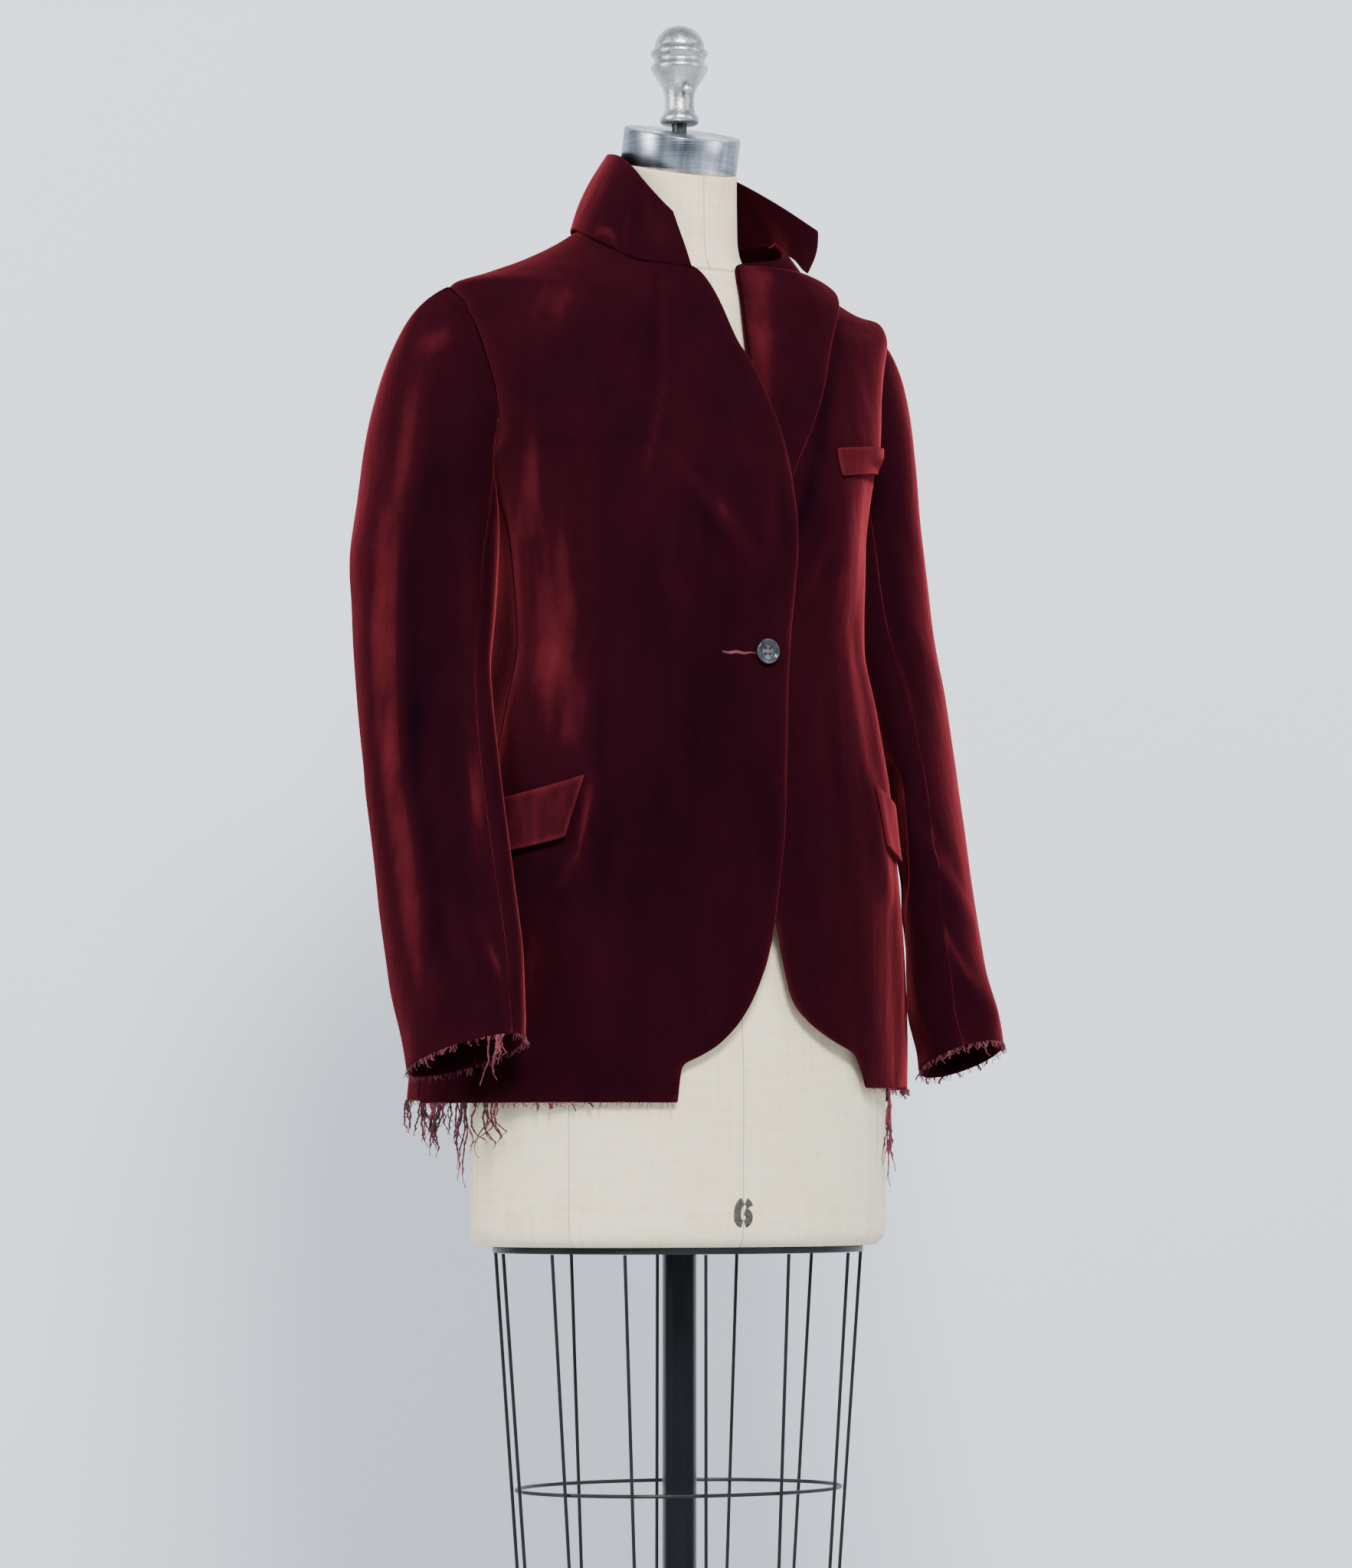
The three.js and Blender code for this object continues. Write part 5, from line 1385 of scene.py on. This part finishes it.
# %% [markdown]
# The front button is dark horn with a raised rim, a dished grey-blue face and four holes. Its
# profile is spun round an axis and the holes are cut with a Boolean. The cuff buttons are
# plain dark ones of the same profile.

# %% Horn and spinning
horn = noisy_material(
    "horn", [(160, (1, 1, 0.4), 4)], 0.5, (1,),
    [(0.35, (0.008, 0.009, 0.012)), (0.55, (0.026, 0.032, 0.042)), (0.75, (0.060, 0.075, 0.095))],
    (0, 0.1, 0.0003),
    {"Roughness": 0.22, "Specular IOR Level": 0.35, "Coat Weight": 0.1, "Coat Roughness": 0.1})


def spun(pairs, steps=48):
    """A bmesh spun round the Z axis from radius and height pairs in millimetres."""
    bm = bmesh.new()
    corners = [bm.verts.new(Vector((radius, 0, height)) * MM) for radius, height in pairs]
    edges = [bm.edges.new(pair) for pair in zip(corners, corners[1:])]
    bmesh.ops.spin(bm, geom=corners + edges, cent=(0, 0, 0), axis=(0, 0, 1),
                   angle=2 * math.pi, steps=steps, use_merge=True)
    bmesh.ops.remove_doubles(bm, verts=bm.verts[:], dist=1e-6)
    bmesh.ops.recalc_face_normals(bm, faces=bm.faces[:])
    return bm


def placed(bm, point, outwards):
    """Turns a bmesh's Z axis outwards and moves it to a point in millimetres."""
    turn = Vector(outwards).to_track_quat("Z", "Y").to_matrix().to_4x4()
    bmesh.ops.transform(bm, matrix=Matrix.Translation(Vector(point) * MM) @ turn,
                        verts=bm.verts[:])
    return bm


# %% Buttons
FRONT_BUTTON = {"x": 16, "z": 1197, "radius": 10, "height": 4, "lift": 0.7}
CUFF_BUTTON = {"degrees": 68, "row": 14.25, "radius": 9.5, "height": 3.6, "lift": 1.05}
BUTTON_PROFILE = [(0, 0), (0.7, 0), (0.93, 0.2), (1, 0.5), (0.985, 0.78), (0.94, 0.95), (0.88, 1),
                  (0.80, 0.95), (0.74, 0.80), (0.68, 0.66), (0.5, 0.58), (0, 0.56)]
HOLE_OUT = 0.23
HOLE_RADIUS = 0.95
DRILL_MIDDLE = 0.6
DRILL_LENGTH = 0.9
STITCH_APART = 0.25
STITCH_RADIUS = 0.24
STITCH_ENDS = ((-1.0, 0.35), (-0.6, 0.66), (0.6, 0.66), (1.0, 0.35))


def drilled(body, drill):
    """Cuts one object out of another for good, and removes the cutter."""
    holes = body.modifiers.new("holes", "BOOLEAN")
    holes.object = drill
    holes.operation = "DIFFERENCE"
    shaped = body.evaluated_get(bpy.context.evaluated_depsgraph_get())
    finished = bpy.data.meshes.new_from_object(shaped)
    body.modifiers.remove(holes)
    body.data = finished
    bpy.data.objects.remove(drill)


def sewn_button(name, node, point, outwards, size):
    """A button with four real holes and the thread that sews it on."""
    radius, height = size["radius"], size["height"]
    pairs = [(out * radius, up * height) for out, up in BUTTON_PROFILE]
    body = make_object(name, placed(spun(pairs), point, outwards), horn)
    cutter = bmesh.new()
    turn = Vector(outwards).to_track_quat("Z", "Y").to_matrix()
    hole = HOLE_OUT * radius
    for across, up in ((1, 1), (1, -1), (-1, 1), (-1, -1)):
        spot = Vector(point) + turn @ Vector((across * hole, up * hole, height * DRILL_MIDDLE))
        place = Matrix.Translation(spot * MM) @ turn.to_4x4()
        bmesh.ops.create_cone(cutter, cap_ends=True, segments=16, radius1=HOLE_RADIUS * MM,
                              radius2=HOLE_RADIUS * MM, depth=height * DRILL_LENGTH * MM,
                              matrix=place)
    drilled(body, make_object(f"{name}_drill", cutter, horn))
    stitches = bmesh.new()
    for up in (1, -1):
        ends = [Vector(point) + turn @ Vector((across * hole, up * hole, height * lift))
                for across, lift in STITCH_ENDS]
        for shift in (-STITCH_APART, STITCH_APART):
            shifted = [end + turn @ Vector((0, shift, 0)) for end in ends]
            tube_along(stitches, shifted, STITCH_RADIUS)
    sewing = make_object(f"{name}_thread", stitches, thread)
    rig.slot(body, "horn")
    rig.slot(sewing, "frayed_thread")
    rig.replaces(body, node)
    print(f"{name}: {len(body.data.polygons)} faces")


front_turn = turn_at(FRONT_BUTTON["x"], FRONT_BUTTON["z"])
front_out = Vector((math.sin(front_turn), -math.cos(front_turn), 0))
front_spot = body_point("front", front_turn, FRONT_BUTTON["z"], FRONT_BUTTON["lift"], -1)
sewn_button("button_of_front", "button_front", front_spot, front_out, FRONT_BUTTON)
cuff_turn = math.radians(CUFF_BUTTON["degrees"])
cuff_row = CUFF_BUTTON["row"]
cuff_round = sleeve_point(cuff_turn + 0.1, cuff_row) - sleeve_point(cuff_turn - 0.1, cuff_row)
cuff_up = sleeve_point(cuff_turn, cuff_row - 0.5) - sleeve_point(cuff_turn, cuff_row + 0.5)
cuff_out = cuff_round.cross(cuff_up).normalized()
cuff_spot = sleeve_point(cuff_turn, cuff_row) + cuff_out * CUFF_BUTTON["lift"]
for side, hand in SIDES:
    sewn_button(f"button_of_cuff_{hand}", f"button_cuff_{hand}",
                hung(leaned(cuff_spot, cuff_row, side), side),
                cuff_out * Vector((side, 1, 1)), CUFF_BUTTON)

# %% [markdown]
# The torso is covered in plain woven linen over a firm shell, with fine seams from neck to
# hem. A grid is wrapped round from height to height, and its two ends are closed. The weave is
# two crossing waves on the piece's own map, in real size, with uneven slubs, and the seams are
# thin dark grooves at stated shares of the way round.

# %% Linen
SEAM_WIDTH = 0.0009


def line_mask(tree, socket, places, width):
    """One where a socket is within half a width of any of the places."""
    total = 0.0
    for place in places:
        near = add_node(tree, "Math", {0: socket, 1: place, 2: width / 2}, operation="COMPARE")
        total = add_node(tree, "Math", {0: total, 1: near.outputs[0]},
                         operation="MAXIMUM").outputs[0]
    return total


def linen_material(name, seams):
    material, tree, shader, place = new_material(name)
    flat = add_node(tree, "UVMap", uv_map="Cloth").outputs["UV"]
    axes = add_node(tree, "SeparateXYZ", {"Vector": flat})
    waves = [add_node(tree, "TexWave", {"Vector": flat, "Scale": 320, "Distortion": 1.2,
                                        "Detail": 1}, bands_direction=axis).outputs["Fac"]
             for axis in ("X", "Y")]
    slubs = [noise_on(tree, flat, 220, stretch, 3) for stretch in ((0.10, 1, 1), (1, 0.10, 1))]
    age = noise_on(tree, place, 7, (1, 1, 1), 3)
    tone = sum_of(tree, 0.51, [], [(slubs[0], 0.45), (slubs[1], 0.45), (age, 0.5),
                                   (waves[0], 0.10), (waves[1], 0.10)])
    colour = ramp_between(tree, tone, [(0.2, (0.60, 0.50, 0.33)), (0.5, (0.78, 0.67, 0.46)),
                                       (0.85, (0.88, 0.78, 0.57))])
    seam = line_mask(tree, axes.outputs["X"], seams, SEAM_WIDTH)
    darker = add_node(tree, "Mix", {"Factor": seam, "A": colour, "B": (0.42, 0.36, 0.28, 1)},
                      data_type="RGBA")
    weave = sum_of(tree, 0.0, [(waves[0], 0.5), (waves[1], 0.5), (slubs[0], 0.6), (slubs[1], 0.6),
                               (seam, -2.0)])
    feed(tree, shader, {
        "Base Color": darker.outputs["Result"], "Normal": bump_from(tree, weave, 0.5, 0.0003),
        "Roughness": 0.88, "Specular IOR Level": 0.2, "Sheen Weight": 0.15})
    return material


# %% Torso
TORSO = table(
    "z half front back",
    (740, 164, -108, 110), (744, 169, -113, 115), (752, 171, -115, 117), (860, 172, -116, 118),
    (940, 164, -111, 115), (1020, 145, -100, 104), (1100, 119, -86, 88), (1160, 121, -93, 88),
    (1220, 131, -107, 92), (1270, 138, -112, 96), (1330, 140, -104, 99), (1400, 145, -86, 98),
    (1440, 148, -72, 88), (1462, 132, -65, 78), (1480, 100, -61, 70), (1493, 76, -58, 63),
    (1503, 62, -56, 60),
)
TORSO_ROUND = 1.03


def torso_point(share, z):
    """A point of the torso; share runs once round from the wearer's left through the back."""
    turn = 2 * math.pi * share
    depth = value(TORSO, "back", z) if math.sin(turn) > 0 else -value(TORSO, "front", z)
    return Vector((value(TORSO, "half", z) * math.cos(turn), depth * math.sin(turn), z))


def wrapped(place, round_count, up_count, round_width, up_length):
    """A grid wrapped round into a closed tube, with its map in metres and flat ends."""
    bm = bmesh.new()
    uv = bm.loops.layers.uv.new("Cloth")
    bmesh.ops.create_grid(bm, x_segments=round_count, y_segments=up_count, size=1)
    for face in bm.faces:
        for loop in face.loops:
            across, up = grid_shares(loop.vert)
            loop[uv].uv = (across * round_width, up * up_length)
    for corner in bm.verts:
        corner.co = place(*grid_shares(corner)) * MM
    bmesh.ops.remove_doubles(bm, verts=bm.verts[:], dist=1e-6)
    rims = [edge for edge in bm.edges if edge.is_boundary]
    bmesh.ops.holes_fill(bm, edges=rims, sides=0)
    bmesh.ops.recalc_face_normals(bm, faces=bm.faces[:])
    return bm


FORM_SEAMS = [0.0, 0.105, 0.25, 0.395, 0.5, 0.615, 0.75, 0.885]
TORSO_LOW = 740
TORSO_HIGH = 1503
RIM_HIGH = 763
RIM_SHARE = 0.03
torso_linen = linen_material("linen", [seam * TORSO_ROUND for seam in FORM_SEAMS])


def torso_place(u, w):
    if w < RIM_SHARE:
        return torso_point(u, mix(TORSO_LOW, RIM_HIGH, w / RIM_SHARE))
    return torso_point(u, mix(TORSO_LOW, TORSO_HIGH, w))


torso_length = (TORSO_HIGH - TORSO_LOW) * MM
dressed("form_torso_linen", "form_torso",
        wrapped(torso_place, 120, 150, TORSO_ROUND, torso_length), torso_linen, "linen")

# %% [markdown]
# The neck is a plain linen tube that leans into the tilted cap. The cap is a turned plug of
# brushed metal, tilted back a little, and its brushing runs round it.

# %% Neck and cap
CAP = {"y": -6, "z": 1620, "tilt": math.radians(16.6), "height": 28}
NECK_SEAM = 1503
NECK = table("rise half depth", (0.3, 60, 57), (7, 53, 52), (17, 48, 48), (30, 46, 46),
             (60, 45.5, 45.5))


def cap_plane(y, drop):
    """The height of the cap's tilted plane, sunk by a drop square to it."""
    top = CAP["z"] - drop / math.cos(CAP["tilt"])
    return top + (y - CAP["y"]) * math.tan(CAP["tilt"])


NECK_STRAIGHT = 60
SEAT_GAP = 0.3
STRAIGHT_SHARE = 0.6
NECK_ROUND = 0.286
NECK_LENGTH = 0.10
NECK_SEAMS = [0.0715, 0.2145]


def neck_place(u, w):
    turn = 2 * math.pi * u
    rise = mix(SEAT_GAP, NECK_STRAIGHT, min(w / STRAIGHT_SHARE, 1))
    half, depth = value(NECK, "half", rise), value(NECK, "depth", rise)
    point = Vector((half * math.cos(turn), depth * math.sin(turn), NECK_SEAM + rise))
    top = cap_plane(point.y, CAP["height"]) - SEAT_GAP
    if w > STRAIGHT_SHARE:
        above = (w - STRAIGHT_SHARE) / (1 - STRAIGHT_SHARE)
        point.z = mix(NECK_SEAM + NECK_STRAIGHT, top, above)
    point.z = min(point.z, top)
    return point


dressed("form_neck_linen", "form_neck",
        wrapped(neck_place, 72, 24, NECK_ROUND, NECK_LENGTH),
        linen_material("linen_neck", NECK_SEAMS), "linen")
brushed = noisy_material(
    "brushed_cap", [(40, (0.25, 0.25, 26), 4), (52, (1, 0.5, 0.04), 3)], 0.425, (0.35, 1.6),
    [(0.2, (0.07, 0.08, 0.10)), (0.5, (0.31, 0.35, 0.40)), (0.8, (0.72, 0.77, 0.84))],
    (0, 0.25, 0.0004), {"Metallic": 1.0, "Roughness": 0.32})
CAP_PROFILE = [(0, -28), (46.0, -28), (46.5, -27.5), (46.5, -1.2), (46.1, -0.35), (45.3, 0),
               (0, 0)]
cap_out = Vector((0, -math.sin(CAP["tilt"]), math.cos(CAP["tilt"])))
cap = dressed("cap_of_neck", "neck_cap",
              placed(spun(CAP_PROFILE, 96), (0, CAP["y"], CAP["z"]), cap_out), brushed,
              "brushed_cap", smooth=False)
for face in cap.data.polygons:
    face.use_smooth = abs(face.normal.dot(cap_out)) < 0.9

# %% [markdown]
# The finial is cast metal, turned over and sand-rough. Its profile is spun with more steps
# than its solid, and a grainy bump gives the casting its skin. A small thumb screw holds it.

# %% Finial, screw and rod
FINIAL_FOOT = 1628
FINIAL = [(0, 0), (13.6, 0), (14.6, 0.5), (15.5, 2), (15.3, 5), (13.6, 7), (12.5, 9), (11.8, 13),
          (11.6, 18), (12.0, 23), (13, 27), (14.6, 30.5), (16.5, 33), (18.7, 36.5), (20.5, 40),
          (21.9, 42), (22.6, 43.7), (22.6, 45.8), (21.7, 47.1), (20.4, 48), (20.1, 50.5),
          (20.3, 53), (21.6, 54), (22.6, 55.2), (22.6, 57.8), (21.6, 59.2), (20, 60.2),
          (19.8, 63), (19, 66), (17.5, 69.5), (15.5, 72), (12.8, 75), (9.5, 77), (5, 78.6), (0, 79)]
SCREW = [(0, 0), (1.9, 0), (2.0, 0.2), (2.0, 2.7), (2.3, 3.0), (3.8, 3.0), (4.1, 3.4),
         (4.3, 4.5), (4.1, 5.6), (3.7, 6.1), (0, 6.6)]
SCREW_OUT = 13.4
SCREW_HEIGHT = 1653
cast = noisy_material(
    "cast_finial", [(420, (1, 1, 1), 4), (45, (1, 1, 1), 3)], 0.5, (0.5, 0.8),
    [(0.2, (0.18, 0.185, 0.19)), (0.55, (0.45, 0.46, 0.47)), (0.85, (0.74, 0.75, 0.76))],
    (0, 0.5, 0.0008), {"Metallic": 0.9, "Roughness": 0.34})
dressed("finial_cast", "finial", placed(spun(FINIAL, 72), (0, 0, FINIAL_FOOT), (0, 0, 1)), cast,
        "cast_finial")
screw_turn = math.radians(-2)
screw_out = Vector((math.sin(screw_turn), -math.cos(screw_turn), 0))
screw_seat = screw_out * SCREW_OUT + Vector((0, 0, SCREW_HEIGHT))
dressed("finial_thumb_screw", "finial_screw", placed(spun(SCREW, 24), screw_seat, screw_out), cast,
        "cast_finial")

# %% [markdown]
# The pole, plate, cage and base are steel in black enamel. The pole and base are glossy, so
# the side panels show in them as long pale lines. The wires keep their solids, which are
# already thin enough, and the rings are wrapped again with more sides.

# %% Enamel, pole and base
def enamel_material(name, roughness):
    return noisy_material(
        name, [(30, (1, 1, 0.3), 3)], 0.5, (1,),
        [(0.3, (0.002, 0.0025, 0.0035)), (0.8, (0.006, 0.0075, 0.010))], (0, 0.08, 0.001),
        {"Roughness": roughness, "Specular IOR Level": 0.3, "Coat Weight": 0.12,
         "Coat Roughness": 0.12})


enamel = enamel_material("black_enamel", 0.22)
satin = enamel_material("black_satin", 0.45)
POLE = [(0, 22.3), (13.5, 22.3), (13.5, 734.4), (0, 734.4)]
SOCKET = [(13.8, 22.3), (29.5, 22.3), (30, 22.8), (30, 29.6), (29.4, 30.4), (22, 34.3),
          (20, 60.3), (13.8, 60.3), (13.8, 22.3)]
BASE = [(0, 0), (206, 0), (208.5, 1), (210, 4), (210, 10), (208.5, 12.6), (202, 15), (130, 18.8),
        (60, 22), (0, 22)]
for name, node, pairs, steps in (("pole_enamel", "pole", POLE, 64),
                                 ("socket_enamel", "pole_socket", SOCKET, 64),
                                 ("base_enamel", "base", BASE, 128)):
    piece = dressed(name, node, spun(pairs, steps), enamel, "black_enamel")
    bend = piece.modifiers.new("edges", "EDGE_SPLIT")
    bend.split_angle = math.radians(35)

# %% Plate and cage
PLATE = {"half": 152, "front": 107, "back": 109, "low": 734.7, "high": 739.7}
PLATE_BEVEL = 0.5
PLATE_ROUND = 0.82
PLATE_WALL = 0.005


def plate_place(u, w):
    turn = 2 * math.pi * u
    depth = PLATE["back"] if math.sin(turn) > 0 else PLATE["front"]
    inset = PLATE_BEVEL if w in (0, 1) else 0
    return Vector(((PLATE["half"] - inset) * math.cos(turn), (depth - inset) * math.sin(turn),
                   mix(PLATE["low"], PLATE["high"], w)))


dressed("plate_enamel", "form_plate", wrapped(plate_place, 96, 5, PLATE_ROUND, PLATE_WALL),
        satin, "black_enamel", smooth=False)
CAGE = {"top": (150, 105), "low": (117, 93), "top_z": 734.4, "low_z": 308, "wire": 1.5,
        "gap": 0.65, "middle_z": 551}
HOOP_STEPS = 96


def cage_point(turn, z):
    rise = (z - CAGE["low_z"]) / (CAGE["top_z"] - CAGE["low_z"])
    return Vector((mix(CAGE["low"][0], CAGE["top"][0], rise) * math.cos(turn),
                   mix(CAGE["low"][1], CAGE["top"][1], rise) * math.sin(turn), z))


for name, z in (("middle", CAGE["middle_z"]), ("bottom", CAGE["low_z"])):
    ring = []
    for i in range(HOOP_STEPS + 1):
        centre = cage_point(2 * math.pi * i / HOOP_STEPS, z)
        inwards = away_from_axis(centre).normalized() * (2 * CAGE["wire"] + CAGE["gap"])
        ring.append(centre - inwards)
    bm = bmesh.new()
    tube_along(bm, ring, CAGE["wire"], 10, closed=True)
    bmesh.ops.remove_doubles(bm, verts=bm.verts[:], dist=1e-5)
    bmesh.ops.recalc_face_normals(bm, faces=bm.faces[:])
    dressed(f"cage_hoop_{name}", f"cage_ring_{name}", bm, satin, "black_enamel")
for node in [f"cage_wire_{i:02d}" for i in range(1, 13)] + ["finial_rod"]:
    solid = frame["nodes"][node]
    solid.data.materials.clear()
    solid.data.materials.append(satin)
print("cage ready")

# %% [markdown]
# The buttonhole is a slit with a raw red edge beside the front button. A plain stencilled size
# figure stands low on the form's front. Its strokes are flat ribbons, cut short at the bridges
# of the stencil, and laid on the linen.

# %% Buttonhole and size figure
def ribbon(bm, points, width, steps=3):
    """A flat ribbon along points of x and z in millimetres, as a grid that is moved."""
    count = len(points)
    grid = bmesh.ops.create_grid(bm, x_segments=steps, y_segments=count - 1, size=1)["verts"]
    for corner in grid:
        at = round(grid_shares(corner)[1] * (count - 1))
        ahead = points[min(at + 1, count - 1)] - points[max(at - 1, 0)]
        ahead.normalize()
        reach = width[at] if isinstance(width, list) else width
        spot = points[at] + Vector((-ahead.y, ahead.x)) * corner.co.x * reach / 2
        corner.co = Vector((spot.x, 0, spot.y))


def laid_on(bm, surface):
    """Moves flat points in x and z onto a surface."""
    for corner in bm.verts:
        corner.co = surface(corner.co.x, corner.co.z) * MM
    bmesh.ops.recalc_face_normals(bm, faces=bm.faces[:])
    return bm


INK_LIFT = 0.15
SLIT_LIFT = 0.35


def arc(centre, radii, start, end, count=14):
    turns = [math.radians(mix(start, end, i / count)) for i in range(count + 1)]
    return [Vector((centre[0] + radii[0] * math.cos(turn), centre[1] + radii[1] * math.sin(turn)))
            for turn in turns]


def on_torso(x, z):
    half, front = value(TORSO, "half", z), value(TORSO, "front", z)
    return Vector((x, front * math.sqrt(1 - (x / half) ** 2) - INK_LIFT, z))


def on_front(x, z):
    return body_point("front", turn_at(x, z), z, SLIT_LIFT, -1)


ink = noisy_material("stencil_ink", [(500, (1, 1, 1), 3)], 0.5, (1,),
                     [(0.3, (0.02, 0.017, 0.015)), (0.75, (0.09, 0.075, 0.06))], None,
                     {"Roughness": 0.8})
BOWL = ((0, 762.8), (5.0, 5.0))
STEM = ((0.8, 765.4), (5.8, 10.0))
figure = bmesh.new()
ribbon(figure, arc(*BOWL, -76, 76), 6.0)
ribbon(figure, arc(*BOWL, 258, 172, 12) + arc(*STEM, 172, 102, 12), 6.0)
ribbon(figure, arc(*STEM, 76, 34, 8), 5.4)
size_figure = make_object("size_figure", laid_on(figure, on_torso), ink)
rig.slot(size_figure, "linen")

SLIT_HEIGHT = 1195.2
MARK_WALL = 0.3
slit = bmesh.new()
ribbon(slit, [Vector((x, SLIT_HEIGHT + 0.4 * math.sin(x * 0.5))) for x in range(-21, 8)],
       [1.0 + 1.4 * math.sin(math.pi * min(i / 28 + 0.1, 1)) for i in range(29)])
raw_edge = make_object("buttonhole", laid_on(slit, on_front), thread)
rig.slot(raw_edge, "frayed_thread")
for mark in (size_figure, raw_edge):
    wall = mark.modifiers.new("wall", "SOLIDIFY")
    wall.thickness = MARK_WALL * MM
    wall.offset = 1
print("marks ready")

# %% [markdown]
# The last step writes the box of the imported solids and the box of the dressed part, so that
# the two can be compared, and finishes the scene.

# %% Sizes and finish
bpy.context.view_layer.update()
visual_box = [list(corner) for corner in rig.bounds()]
with open("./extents.json", "w") as sizes:
    json.dump({"cad": cad_box, "visual": visual_box}, sizes)
growth = [round((visual_box[1][i] - visual_box[0][i]) - (cad_box[1][i] - cad_box[0][i]), 4)
          for i in range(3)]
print("dressed part minus solids, in metres:", growth)
